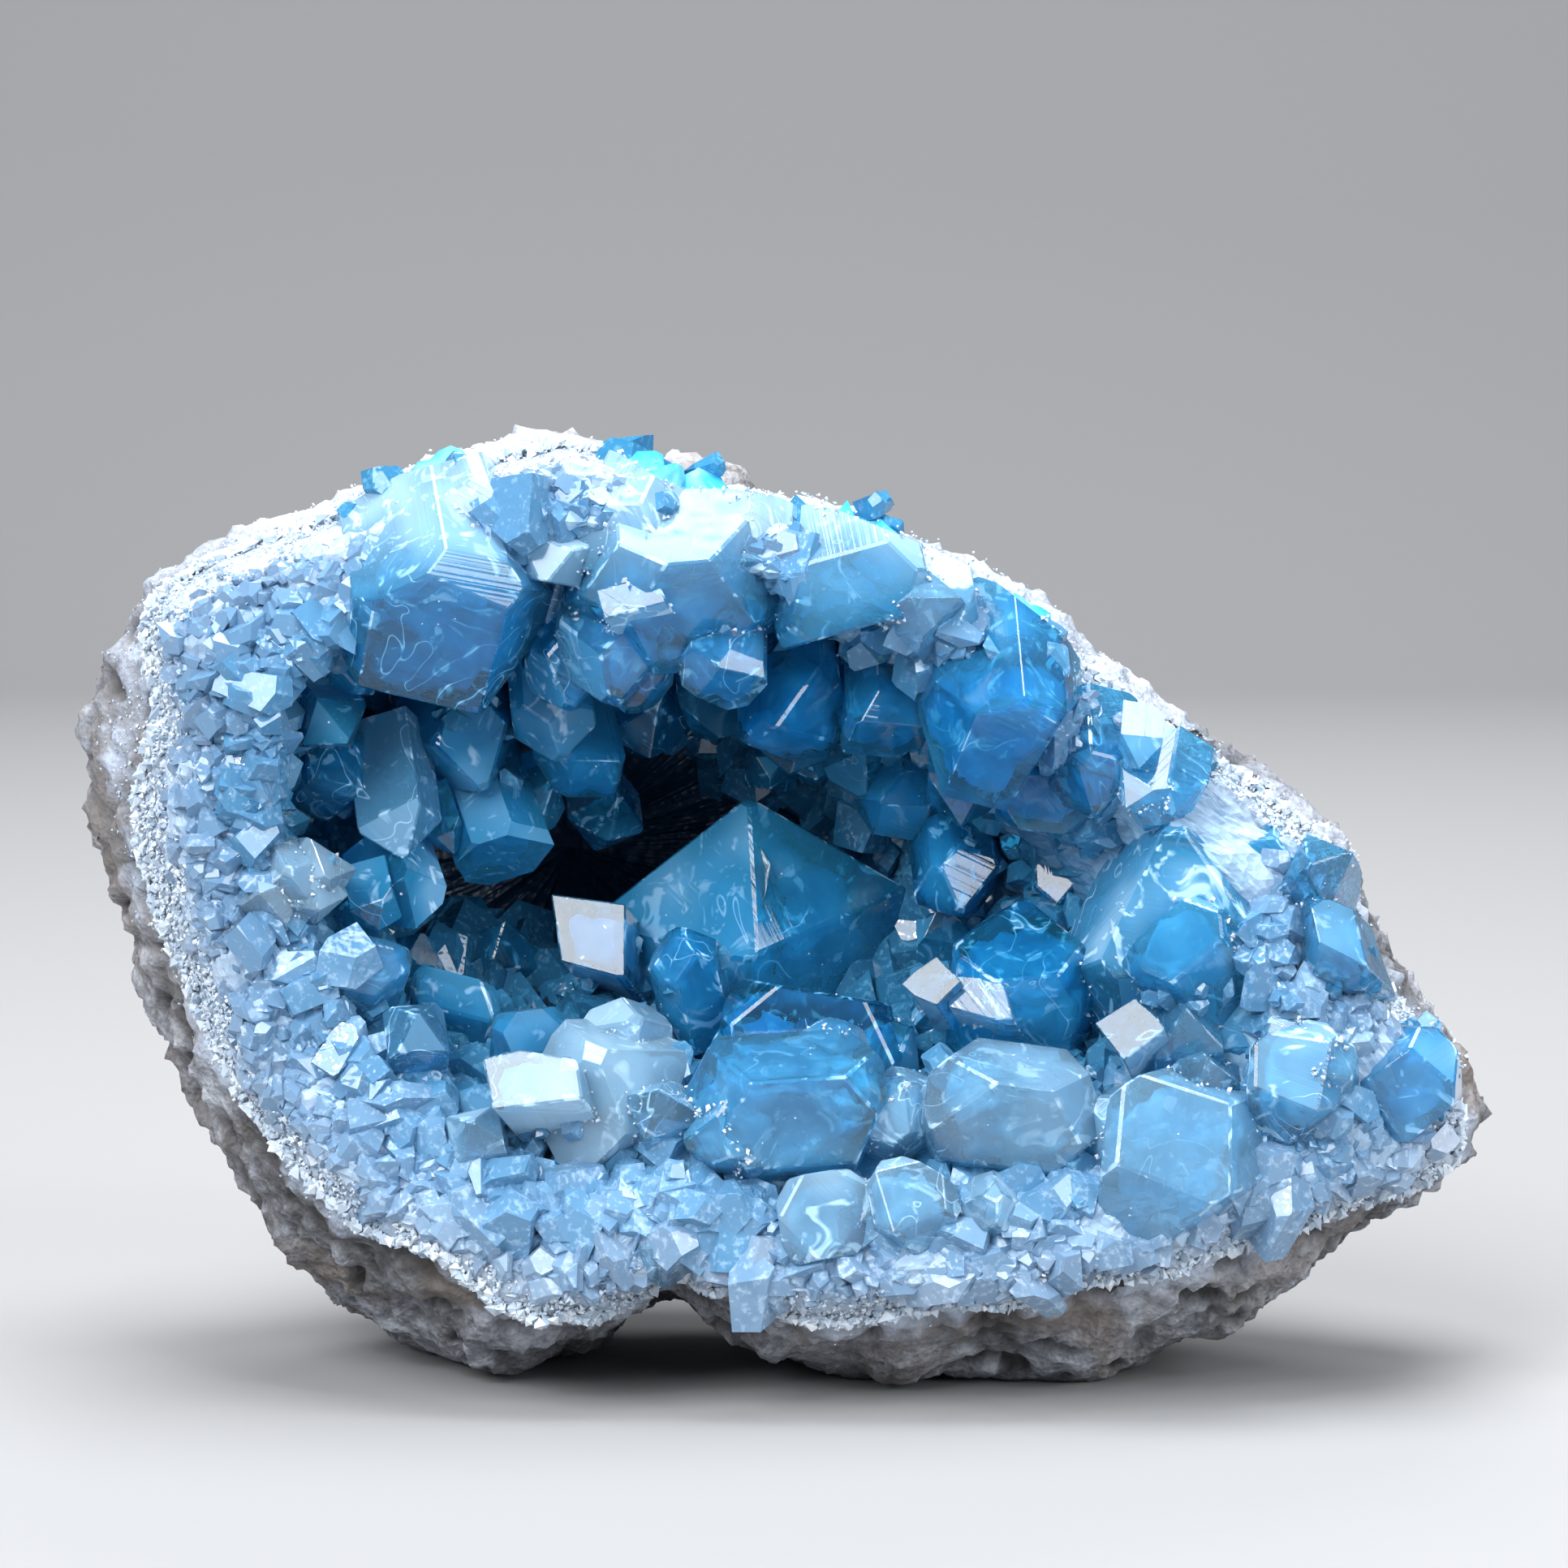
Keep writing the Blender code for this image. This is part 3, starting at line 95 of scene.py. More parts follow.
# Crystals placed one by one: name, tip, growing direction, width, thickness, length, form, roll (degrees).
CRYSTALS = (
    ("giant", (-5, -6, 77), (-0.03, -0.38, 0.92), 43, 32, 46, GIANT, 0),
    ("giant_foot", (-14, -22, 61), (-0.2, -0.5, 0.85), 10, 8, 18, PYRAMID, 20),
    ("roof_big_left", (-43, -34, 98), (0.16, -0.8, -0.58), 26, 23, 30, BLOCK, 20),
    ("roof_flake", (-31, -34, 107), (-0.2, -0.85, -0.45), 9, 7, 14, CHISEL, 10),
    ("roof_teal", (-29, -22, 97), (0.1, -0.5, -0.86), 10, 9, 18, PYRAMID, 30),
    ("roof_smooth", (-30, -12, 82), (0.1, -0.4, -0.9), 11, 10, 18, PYRAMID, 0),
    ("left_wall", (-55, -22, 92), (0.4, -0.75, -0.5), 11, 9, 18, PYRAMID, 15),
    ("left_wall_low", (-57, -25, 86), (0.45, -0.8, -0.4), 8, 7, 14, BLOCK, 30),
    ("roof_wide", (-14, -34, 102), (0.06, -0.84, -0.54), 28, 18, 28, BLOCK, -8),
    ("roof_wide_left", (-22, -31, 91), (-0.05, -0.6, -0.8), 15, 12, 20, PYRAMID, 20),
    ("roof_wide_foot", (-28, -25, 90), (0, -0.6, -0.8), 13, 11, 18, PYRAMID, 25),
    ("roof_round", (-8, -31, 93), (0, -0.65, -0.76), 11, 10, 16, BLOCK, 10),
    ("roof_wedge", (-20, -24, 89), (0, -0.4, -0.9), 12, 10, 18, PYRAMID, 40),
    ("roof_grey", (1, -20, 85), (0.05, -0.6, -0.8), 14, 12, 15, BLOCK, 8),
    ("roof_teal_right", (13, -20, 86), (0.05, -0.65, -0.76), 13, 11, 16, BLOCK, 30),
    ("roof_deep", (12, -12, 84), (0, -0.6, -0.8), 13, 11, 18, PYRAMID, 20),
    ("roof_broad", (9, -33, 101), (0.12, -0.8, -0.58), 21, 14, 20, CHISEL, 5),
    ("roof_small_a", (4, -31, 105), (0, -0.75, -0.66), 7, 6, 12, BLOCK, 20),
    ("roof_mirror", (16, -35, 105), (-0.25, -0.89, 0.39), 9, 7, 14, PYRAMID, 15),
    ("roof_small_b", (21, -31, 100), (0.1, -0.75, -0.65), 8, 7, 12, CHISEL, 0),
    ("roof_small_c", (-5, -29, 109), (0, -0.75, -0.66), 9, 8, 13, PYRAMID, 45),
    ("roof_big_right", (28, -33, 84), (0.04, -0.72, -0.69), 20, 17, 26, BLOCK, 22),
    ("roof_right_foot", (23, -22, 75), (0, -0.55, -0.83), 9, 8, 14, PYRAMID, 0),
    ("right_a", (40, -29, 76), (0, -0.6, -0.8), 13, 12, 18, PYRAMID, 30),
    ("right_b", (33, -24, 74), (-0.1, -0.6, -0.8), 12, 9, 14, CHISEL, 0),
    ("right_c", (45, -31, 83), (-0.1, -0.8, -0.6), 5.5, 5, 10, BLOCK, 0),
    ("right_fan_a", (44, -31, 78), (-0.55, -0.7, -0.45), 8, 5, 18, CHISEL, 30),
    ("right_fan_b", (46, -30, 76), (-0.4, -0.75, -0.5), 8, 5, 18, CHISEL, 60),
    ("right_fan_c", (50, -31, 77), (-0.15, -0.8, -0.55), 8, 5, 18, CHISEL, 80),
    ("right_ridge", (50, -30, 76), (-0.14, -0.58, 0.8), 31, 25, 40, PYRAMID, 38),
    ("wall_pale", (23, -14, 62), (0.05, -0.75, -0.66), 12, 11, 18, PYRAMID, 20),
    ("wall_teal", (16, -7, 74), (0.05, -0.8, -0.6), 11, 10, 16, BLOCK, 35),
    ("wall_low", (21, -13, 55), (0, -0.6, 0.8), 9, 8, 14, PYRAMID, 0),
    ("right_dark", (37, -10, 59), (0.05, -0.3, -0.95), 10, 9, 20, PYRAMID, 10),
    ("floor_chisel", (5, -27, 53), (0.08, -0.6, 0.8), 26, 12, 22, CHISEL, -6),
    ("front_block", (0, -43, 44), (0.03, -0.9, 0.42), 26, 18, 28, CHISEL, 8),
    ("front_blue", (15, -39, 43), (0.05, -0.8, 0.6), 11, 10, 16, PYRAMID, 25),
    ("front_striped", (30, -43, 43), (0.12, -0.93, 0.34), 23, 17, 32, CHISEL, 12),
    ("floor_milky", (32, -23, 60), (0.1, -0.5, 0.86), 20, 15, 26, BLOCK, 10),
    ("floor_small_a", (19, -30, 55), (-0.2, -0.9, 0.4), 6, 6, 16, TABLET, 20),
    ("floor_small_b", (25, -30, 53), (-0.2, -0.9, 0.4), 9, 6, 16, TABLET, -25),
    ("front_milky", (50, -43, 37), (-0.05, -0.93, 0.35), 26, 19, 32, BLOCK, 25),
    ("right_pair_a", (51, -33, 52), (-0.1, -0.65, 0.75), 9, 8, 16, BLOCK, 0),
    ("right_pair_b", (54, -38, 46), (0.05, -0.75, 0.66), 7, 6, 12, BLOCK, 30),
    ("right_deep", (58, -28, 55), (-0.1, -0.6, 0.8), 15, 12, 20, PYRAMID, 45),
    ("right_deep_foot", (66, -36, 48), (-0.1, -0.75, 0.65), 13, 11, 18, BLOCK, 10),
    ("right_slab", (68, -33, 62), (-0.35, -0.85, 0.35), 13, 9, 20, CHISEL, 60),
    ("right_white", (67, -32, 70), (-0.3, -0.88, 0.3), 9, 7, 16, PYRAMID, 20),
    ("tip_round", (79, -32, 42), (-0.2, -0.97, 0.1), 15, 14, 18, BLOCK, 25),
    ("front_low", (42, -39, 26), (0.05, -0.8, 0.55), 10, 9, 14, PYRAMID, 0),
    ("front_right", (65, -39, 45), (-0.1, -0.9, 0.42), 15, 12, 20, BLOCK, 20),
    ("front_facet", (44, -36, 50), (-0.2, -0.88, 0.43), 7, 7, 16, TABLET, 10),
    ("back_a", (26, 2, 72), (-0.1, -0.72, 0.68), 12, 10, 16, BLOCK, 20),
    ("back_b", (21, -4, 62), (0, -0.5, 0.86), 7, 6, 12, PYRAMID, 0),
    ("back_c", (12, 2, 80), (0, -0.8, -0.55), 7, 6, 12, PYRAMID, 0),
    ("back_d", (16, 4, 77), (0, -0.9, -0.3), 7, 6, 12, BLOCK, 0),
    ("back_e", (19, 0, 81), (0, -0.8, -0.55), 7, 6, 12, PYRAMID, 30),
    ("back_f", (-2, 0, 78), (0, -0.85, -0.5), 7, 6, 12, PYRAMID, 0),
    ("back_g", (4, -2, 79), (0.1, -0.8, -0.5), 6, 5, 12, CHISEL, 40),
    ("back_h", (-9, -7, 85), (0.05, -0.75, -0.66), 9, 8, 14, PYRAMID, 10),
    ("back_i", (1, -5, 80), (0, -0.75, -0.66), 9, 8, 14, BLOCK, 30),
    ("back_j", (11, -6, 77), (0, -0.8, -0.6), 9, 8, 14, PYRAMID, 40),
    ("back_k", (-18, -3, 82), (0.1, -0.7, -0.7), 9, 8, 14, BLOCK, 20),
    ("back_l", (-24, 4, 70), (0.1, -0.8, -0.5), 8, 7, 12, PYRAMID, 20),
    ("pale_fan_a", (-64, -34, 70), (-0.1, -0.92, 0.25), 10, 9, 14, PYRAMID, 10),
    ("pale_fan_b", (-59, -32, 69), (0.3, -0.9, 0.1), 8, 7, 12, PYRAMID, 40),
    ("pale_fan_c", (-67, -33, 67), (-0.25, -0.9, 0.1), 8, 7, 12, BLOCK, 0),
    ("pale_fan_d", (-60, -32, 65), (0.25, -0.85, -0.3), 7, 6, 12, PYRAMID, 0),
    ("left_dark", (-56, -16, 78), (0.45, -0.8, -0.3), 13, 11, 20, PYRAMID, 20),
    ("left_column", (-50, -17, 70), (0.15, -0.5, -0.85), 9, 8, 20, PYRAMID, 15),
    ("left_splinter", (-44, -12, 70), (0.3, -0.5, -0.8), 5, 4, 10, CHISEL, 0),
    ("left_blue", (-40, -12, 78), (0.3, -0.6, -0.74), 14, 12, 22, PYRAMID, 30),
    ("left_low_a", (-37, -9, 69), (0.3, -0.65, -0.7), 13, 11, 18, BLOCK, 0),
    ("left_low_b", (-49, -17, 61), (0.3, -0.6, -0.72), 9, 8, 14, PYRAMID, 25),
    ("left_low_c", (-53, -21, 61), (0.2, -0.65, -0.7), 6, 5, 10, PYRAMID, 0),
    ("middle_a", (-26, -9, 79), (0.2, -0.7, -0.7), 11, 10, 18, BLOCK, 25),
    ("middle_b", (-33, -5, 72), (0.2, -0.7, -0.65), 8, 7, 12, PYRAMID, 0),
    ("floor_dark_a", (-38, 3, 59), (0.1, -0.5, 0.85), 9, 8, 14, BLOCK, 20),
    ("floor_dark_b", (-49, -4, 58), (0.2, -0.55, 0.8), 9, 8, 14, BLOCK, 10),
    ("floor_slab", (-43, -14, 54), (0.2, -0.6, 0.77), 14, 7, 16, CHISEL, 0),
    ("floor_mirror", (-26, -10, 59), (-0.2, -0.9, 0.4), 11, 12, 30, TABLET, -25),
    ("floor_curl", (-33, -28, 51), (0.1, -0.7, 0.7), 10, 7, 14, CHISEL, 20),
    ("front_frosted", (-24, -38, 47), (-0.15, -0.85, 0.5), 22, 18, 28, PYRAMID, 12),
    ("front_white", (-32, -41, 44), (-0.2, -0.88, 0.43), 13, 9, 20, TABLET, -12),
    ("front_dark", (-40, -40, 38), (-0.1, -0.85, 0.5), 7, 6, 10, PYRAMID, 0),
    ("front_small", (-16, -39, 42), (-0.05, -0.8, 0.6), 8, 7, 12, PYRAMID, 20),
    ("left_slab", (-53, -30, 60), (0.25, -0.7, 0.65), 11, 9, 16, CHISEL, 10),
    ("left_small", (-47, -33, 51), (0.15, -0.75, 0.63), 8, 7, 12, PYRAMID, 20),
    ("low_row_a", (5, -43, 27), (0, -0.95, 0.3), 12, 11, 16, BLOCK, 10),
    ("low_row_b", (16, -44, 29), (0.1, -0.93, 0.35), 12, 10, 16, BLOCK, -15),
    ("low_row_c", (27, -43, 30), (0, -0.84, 0.54), 10, 8, 12, PYRAMID, 0),
    ("roof_facet", (-20, -37, 105), (-0.22, -0.9, 0.38), 9, 5, 16, TABLET, -12))
# Grown at random between the ones above: tries, most, and widths on the frosted band and in the hollow.
SCATTER_TRIES = 2600
SCATTER_MOST = 15
BAND_WIDTHS = (3.2, 5.6)
HOLLOW_WIDTHS = (5.0, 8.5)
# Crystals narrower than this are four sides and four tip faces.
SMALL_WIDTH = 9.5
# Crystals at least as broad as the first carry a smaller one on a flank, broader than the second on both.
PARTNER_WIDTH = 20
PAIR_WIDTH = 23.5
PARTNER_SHARES = (0.42, 0.6)
PARTNER_OFFSET = 0.3


def smooth(t):
    """A share from 0 to 1, eased at both ends."""
    return t * t * (3 - 2 * t)


def between(a, b, t):
    """The value a share of the way from one to another."""
    return a + (b - a) * t


def outline_radius(angle):
    """Distance from the centre to the outline in one direction (radians)."""
    ux, uz = math.cos(angle), math.sin(angle)
    best = 0.0
    for i, (ax, az) in enumerate(OUTLINE):
        bx, bz = OUTLINE[(i + 1) % len(OUTLINE)]
        ax, az, bx, bz = ax - CENTRE[0], az - CENTRE[1], bx - CENTRE[0], bz - CENTRE[1]
        cross = ux * (bz - az) - uz * (bx - ax)
        if abs(cross) < 1e-9:
            continue
        far = (ax * (bz - az) - az * (bx - ax)) / cross
        along = (ax * uz - az * ux) / cross
        if far > 0 and -1e-9 <= along <= 1 + 1e-9:
            best = max(best, far)
    return best


# How far the crust's edge lies inside the rock's: share of the outline, and depth.
EDGE_INSET = 0.012
EDGE_BACK = 0.7


def stations(angle):
    """The six stations of the crust's face in one direction: shares of the outline and depths."""
    degrees = (math.degrees(angle) + 180) % 360 - 180
    for low, high in zip(PROFILE, PROFILE[1:]):
        if low[0] <= degrees <= high[0]:
            t = smooth((degrees - low[0]) / (high[0] - low[0]))
            break
    wobble = noise.noise(Vector((math.cos(angle) * 4, math.sin(angle) * 4, 1.7)))
    row = [(between(a[0], b[0], t), between(a[1], b[1], t)) for a, b in zip(low[1:], high[1:])]
    row[0] = (row[0][0] * (1 + 0.008 * wobble) - EDGE_INSET, row[0][1] + 1.2 * wobble - EDGE_BACK)
    return row


# Outline, blunted outline of the back, and stations of the face: a row for each half degree round the stone.
TABLE_STEPS = 720
ALL_ANGLES = [-math.pi + 2 * math.pi * i / TABLE_STEPS for i in range(TABLE_STEPS + 1)]
RADIUS = np.array([outline_radius(angle) for angle in ALL_ANGLES])
SOFT_TURNS = [turn * TABLE_STEPS // 360 for turn in range(-28, 29, 7)]
SOFT_RADIUS = np.mean([np.roll(RADIUS[:-1], -turn) for turn in SOFT_TURNS], axis=0)
SOFT_RADIUS = np.append(SOFT_RADIUS, SOFT_RADIUS[0])
STATIONS = np.array([stations(angle) for angle in ALL_ANGLES])
# Share of the way from the centre to the pole at each station.
FACE_SHIFT = np.array((0.0, 0.0, 0.1, 0.35, 0.65, 0.9))


def pick(table, angle):
    """Reads a table of directions at any angle."""
    place = (np.asarray(angle) + math.pi) / (2 * math.pi) % 1.0 * TABLE_STEPS
    low = np.floor(place).astype(int)
    t = (place - low).reshape(place.shape + (1,) * (table.ndim - 1))
    return table[low] * (1 - t) + table[low + 1] * t


def spot(angle, share, depth, shift=0.0):
    """Points of the stone from their direction, share of the outline and depth, in millimetres."""
    angle, share, depth, shift = np.broadcast_arrays(angle, share, depth, shift)
    soft = smooth(np.clip((depth - 8) / 22, 0, 1))
    reach = share * between(pick(RADIUS, angle), pick(SOFT_RADIUS, angle), soft)
    x = between(CENTRE[0], POLE[0], shift) + reach * np.cos(angle)
    z = between(CENTRE[1], POLE[1], shift) + reach * np.sin(angle)
    return np.stack([x, depth, z], -1)


def face(angle, way):
    """Points of the crust's face: way 0 at the rock's edge, 1 at the crest, 2 at the lip, 5 deep inside."""
    angle, way = np.broadcast_arrays(np.asarray(angle, float), np.asarray(way, float))
    table = pick(STATIONS, angle)
    low = np.clip(way.astype(int), 0, 4)
    t = way - low
    near = np.take_along_axis(table, low[..., None, None], -2)[..., 0, :]
    far = np.take_along_axis(table, low[..., None, None] + 1, -2)[..., 0, :]
    share, depth = np.moveaxis(between(near, far, t[..., None]), -1, 0)
    return spot(angle, share, depth, between(FACE_SHIFT[low], FACE_SHIFT[low + 1], t))


def out_of_face(angle, way):
    """Unit directions away from the crust's face."""
    down = face(angle, np.minimum(way + 0.08, 5.0)) - face(angle, np.maximum(way - 0.08, 0.0))
    side = face(angle + 0.04, way) - face(angle - 0.04, way)
    away = np.cross(side, down)
    return away / np.linalg.norm(away, axis=-1, keepdims=True)


def middle(depth, shift):
    """The point on the stone's axis at one depth."""
    return (between(CENTRE[0], POLE[0], shift), depth, between(CENTRE[1], POLE[1], shift))


def inner_rings(angle, gap):
    """The inside of the bowl from the rim to its floor, moved off the rock by a gap."""
    edge = pick(STATIONS, angle)[:, 0]
    share, depth = edge[:, 0] + EDGE_INSET - RIM, edge[:, 1] + EDGE_BACK + 0.8
    rings = [spot(angle, share, depth)]
    rings.append(spot(angle, between(share, INNER[0][0], 0.55), between(depth, INNER[0][1], 0.5)))
    rings += [spot(angle, *row) for row in INNER]
    off = np.stack([-gap * np.cos(angle), np.full(len(angle), -gap), -gap * np.sin(angle)], -1)
    return [ring + off for ring in rings]


def design_move():
    """How far the CAD model was moved onto its origin, read from the middle of the back of its crust."""
    points = np.array([vert.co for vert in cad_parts["crystal_crust"].data.vertices]) / MM
    return points[points[:, 1].argmax()] - np.array(middle(INNER_END - GAP, 0.5))


MOVE = design_move()


def octaves(points, grain, count=3, seed=0.0, fall=0.5):
    """Smooth noise at points in millimetres, in finer and weaker layers."""
    total = np.zeros(len(points))
    strength = 1.0
    for layer in range(count):
        scaled = points / grain + seed + layer * 7.3
        total += strength * np.array([noise.noise(Vector(point)) for point in scaled])
        grain *= 0.47
        strength *= fall
    return total


def read(items, name, size=1, kind=float):
    """One property of every item of a mesh as an array."""
    values = np.zeros(len(items) * size, kind)
    items.foreach_get(name, values)
    return values


def new_object(name, data):
    """An object in the scene for a mesh, camera or light."""
    made = bpy.data.objects.new(name, data)
    bpy.context.scene.collection.objects.link(made)
    return made


def make_object(name, points, faces):
    """A mesh object from points in millimetres of the design and faces."""
    mesh = bpy.data.meshes.new(name)
    mesh.from_pydata(((np.asarray(points) + MOVE) * MM).tolist(), [], np.asarray(faces).tolist())
    return new_object(name, mesh)


def set_attribute(thing, name, values, domain="POINT"):
    """Stores a value on every point or corner of an object for its material to read."""
    layer = thing.data.attributes.new(name, "FLOAT", domain)
    layer.data.foreach_set("value", np.ascontiguousarray(values, dtype=np.float32))


def strip(near, far, count):
    """Triangles between two rings of points, from the numbers of their first points."""
    turn = np.arange(count)
    after = (turn + 1) % count
    return np.concatenate([np.stack([near + turn, near + after, far + after], -1),
                           np.stack([near + turn, far + after, far + turn], -1)])


def fan(tip, ring, count):
    """Triangles between one point and a ring of points."""
    turn = np.arange(count)
    return np.stack([ring + turn, ring + (turn + 1) % count, np.full(count, tip)], -1)


def loft(name, rings, first, last):
    """A closed body from rings of equal count, closed by a point at each end."""
    count = len(rings[0])
    points = np.concatenate(list(rings) + [[first], [last]])
    faces = [strip(row * count, (row + 1) * count, count) for row in range(len(rings) - 1)]
    faces.append(fan(len(points) - 2, 0, count)[:, [1, 0, 2]])
    faces.append(fan(len(points) - 1, (len(rings) - 1) * count, count))
    return make_object(name, points, np.concatenate(faces))


def level(turn):
    """The direction square to a crystal's axis at one angle round it."""
    return Vector((math.cos(turn), math.sin(turn), 0))


def slanted(side, steep):
    """A level direction raised towards the axis: steep 0 points along it."""
    return Vector((side.x * math.sin(steep), side.y * math.sin(steep), math.cos(steep)))


def almost_up(chance, spread):
    """The axis, leaning a little at random."""
    return Vector((chance.uniform(-spread, spread), chance.uniform(-spread, spread), 1)).normalized()


def giant_planes(a, b):
    """The large crystal's four tip faces, its cut corners and the small facet on its tip."""
    planes = []
    for su, sv in ((-0.894, -1.02), (-0.8, 0.95), (0.675, -0.96), (0.72, 0.9)):
        planes.append((Vector((su, sv, 1.0)).normalized(), 0.0))
        corner = Vector((1 / a * math.copysign(1, su), 1 / b * math.copysign(1, sv), 0))
        planes.append((corner.normalized(), 1 / corner.length))
    planes.append((Vector((0.03, -0.06, 1)).normalized(), -0.9))
    return planes


def tablet_planes(a, b, chance):
    """Four sides and a plain end."""
    planes = []
    for turn in (0.15, 1.35, 3.3, 4.6):
        side = level(turn + chance.uniform(-0.2, 0.2))
        reach = a if abs(side.x) > abs(side.y) else b
        planes.append((side, reach * chance.uniform(0.75, 0.95)))
    planes.append((almost_up(chance, 0.08), 0.0))
    return planes


def small_planes(a, chance):
    """Four tip faces."""
    planes = []
    for turn in (0.1, 1.57, 3.24, 4.71):
        side = level(turn + chance.uniform(-0.2, 0.2))
        steep = chance.uniform(*TIP_SLANTS)
        planes.append((slanted(side, steep), chance.uniform(0.0, 0.2) * a))
    return planes


def crystal_planes(form, a, b, chance):
    """Cutting planes of one crystal: outward direction and distance from the tip, growing along +Z."""
    if form == GIANT:
        return giant_planes(a, b)
    if form == TABLET:
        return tablet_planes(a, b, chance)
    if a < SMALL_WIDTH / 2:
        return small_planes(a, chance)
    planes = []
    lean = math.atan2(a, b)
    for su, sv in ((1, 1), (-1, 1), (-1, -1), (1, -1)):
        turn = math.pi / 2 - lean + chance.uniform(-0.14, 0.14)
        side = Vector((su * math.cos(turn), sv * math.sin(turn), 0))
        full = a * abs(side.x) + b * abs(side.y)
        planes.append((side, full * chance.uniform(*SIDE_SHARES)))
        if form == PYRAMID:
            steep = chance.uniform(*TIP_SLANTS)
            planes.append((slanted(side, steep), chance.uniform(0.0, 0.12) * a))
        if form == BLOCK:
            steep = chance.uniform(*RIM_SLANTS)
            planes.append((slanted(side, steep), chance.uniform(0.3, 0.7) * full * math.sin(steep)))
    if form == CHISEL:
        for sign in (1, -1):
            steep = chance.uniform(0.72, 0.95)
            planes.append((slanted(Vector((0, sign, 0)), steep), chance.uniform(0, 0.1) * b))
            steep = chance.uniform(0.7, 0.95)
            planes.append((slanted(Vector((sign, 0, 0)), steep), chance.uniform(0.25, 0.5) * a))
    if form == BLOCK:
        planes.append((almost_up(chance, 0.16), 0.0))
    if form == PYRAMID:
        planes.append((almost_up(chance, 0.2), -0.08 * a))
    return planes


def stand(tip, grows, roll):
    """The matrix that stands a crystal at its tip, growing along a direction."""
    up = Vector(grows).normalized()
    side = Vector((0, 1, 0)).cross(up)
    side = side if side.length > 0.2 else Vector((1, 0, 0))
    side = (side - up * side.dot(up)).normalized()
    if side.x < 0:
        side = -side
    other = up.cross(side)
    turned = Matrix((side, other, up)).transposed().to_4x4()
    return Matrix.Translation(Vector(tip)) @ turned @ Matrix.Rotation(math.radians(roll), 4, "Z")


def carved(size, lift, planes):
    """A box of one size, its middle lifted along +Z, with all cut away that lies past the planes."""
    one = bmesh.new()
    bmesh.ops.create_cube(one, size=1.0)
    bmesh.ops.scale(one, vec=size, verts=one.verts)
    bmesh.ops.translate(one, vec=(0, 0, lift), verts=one.verts)
    for direction, distance in planes:
        everything = one.verts[:] + one.edges[:] + one.faces[:]
        cut = bmesh.ops.bisect_plane(one, geom=everything, dist=1e-5, plane_co=direction * distance,
                                     plane_no=direction, clear_outer=True)
        edges = [item for item in cut["geom_cut"] if isinstance(item, bmesh.types.BMEdge)]
        if len(edges) > 2:
            bmesh.ops.contextual_create(one, geom=edges)
    bmesh.ops.remove_doubles(one, verts=one.verts, dist=0.02)
    bmesh.ops.recalc_face_normals(one, faces=one.faces)
    return one


# Faces of a crystal are numbered below this; its end face has the last number.
SIDES = 24


def cut_crystal(width, thick, length, form, seed, bevel):
    """One crystal in millimetres, its tip at the origin: a box cut by its planes, edges slightly worn."""
    a = width / 2
    planes = crystal_planes(form, a, thick / 2, random.Random(seed))
    one = carved((width, thick, length), 0.15 * a - length / 2, planes)
    side = one.faces.layers.int.new("side")
    for number, each in enumerate(one.faces):
        each[side] = SIDES - 1 if number == len(one.faces) - 1 else number % (SIDES - 1)
    worn = one.faces.layers.int.new("worn")
    if bevel:
        made = bmesh.ops.bevel(one, geom=one.edges[:], offset=bevel, segments=1, affect="EDGES",
                               clamp_overlap=True)
        for each in made["faces"]:
            each[worn] = 1
        bmesh.ops.remove_doubles(one, verts=one.verts, dist=0.01)
    return one


def partners():
    """Smaller crystals grown onto the flanks of the broad ones: owner, then as in the table."""
    chance = random.Random(23)
    made = []
    for owner, (_, tip, grows, width, thick, length, form, roll) in enumerate(CRYSTALS):
        if width < PARTNER_WIDTH or form == GIANT:
            continue
        turned = stand(tip, grows, roll)
        for sign in ((1, -1) if width > PAIR_WIDTH else (1,)):
            size = width * chance.uniform(*PARTNER_SHARES)
            aside = chance.uniform(-0.25, 0.25) * thick / width
            place = Vector((sign * PARTNER_OFFSET, aside, -chance.uniform(0.12, 0.3))) * width
            lean = turned.to_3x3() @ Vector((sign * chance.uniform(0.1, 0.4), chance.uniform(-0.3, 0.3), 1.0))
            made.append((owner, turned @ place, lean, size, size * chance.uniform(0.7, 0.95), length * 0.9,
                         chance.choice((PYRAMID, BLOCK, CHISEL)), roll + chance.uniform(-40, 40)))
    return made


def scattered():
    """Crystals between the placed ones: tip, direction, width, thickness, length, form, roll."""
    chance = random.Random(11)
    taken = []
    for _, tip, grows, width, thick, length, _, _ in CRYSTALS:
        along = Vector(grows).normalized()
        for back in range(0, int(length * 0.7), 4):
            taken.append((Vector(tip) - along * (back + width * 0.3), (width + thick) * 0.25))
    made = []
    for _ in range(SCATTER_TRIES):
        if len(made) >= SCATTER_MOST:
            break
        angle = chance.uniform(-math.pi, math.pi)
        way = chance.uniform(0.85, 1.9) if chance.random() < 0.3 else chance.uniform(1.9, 4.9)
        low, high = BAND_WIDTHS if way < 1.9 else HOLLOW_WIDTHS
        width = chance.uniform(low, high)
        base = Vector(face(angle, way))
        if any((base - other).length < reach + width * 0.42 for other, reach in taken):
            continue
        out = Vector(out_of_face(angle, way))
        lean = Vector((chance.uniform(-0.4, 0.4), chance.uniform(-0.5, 0.1), chance.uniform(-0.4, 0.4)))
        grows = (out + lean).normalized()
        taken.append((base, width * 0.45))
        tip = base + out * width * (chance.uniform(0.15, 0.4) if way < 1.9 else chance.uniform(0.35, 0.75))
        form = chance.choice((PYRAMID, PYRAMID, CHISEL, BLOCK))
        thick = width * chance.uniform(0.7, 0.95)
        made.append((tip, grows, width, thick, width * 1.7, form, chance.uniform(0, 90)))
    return made


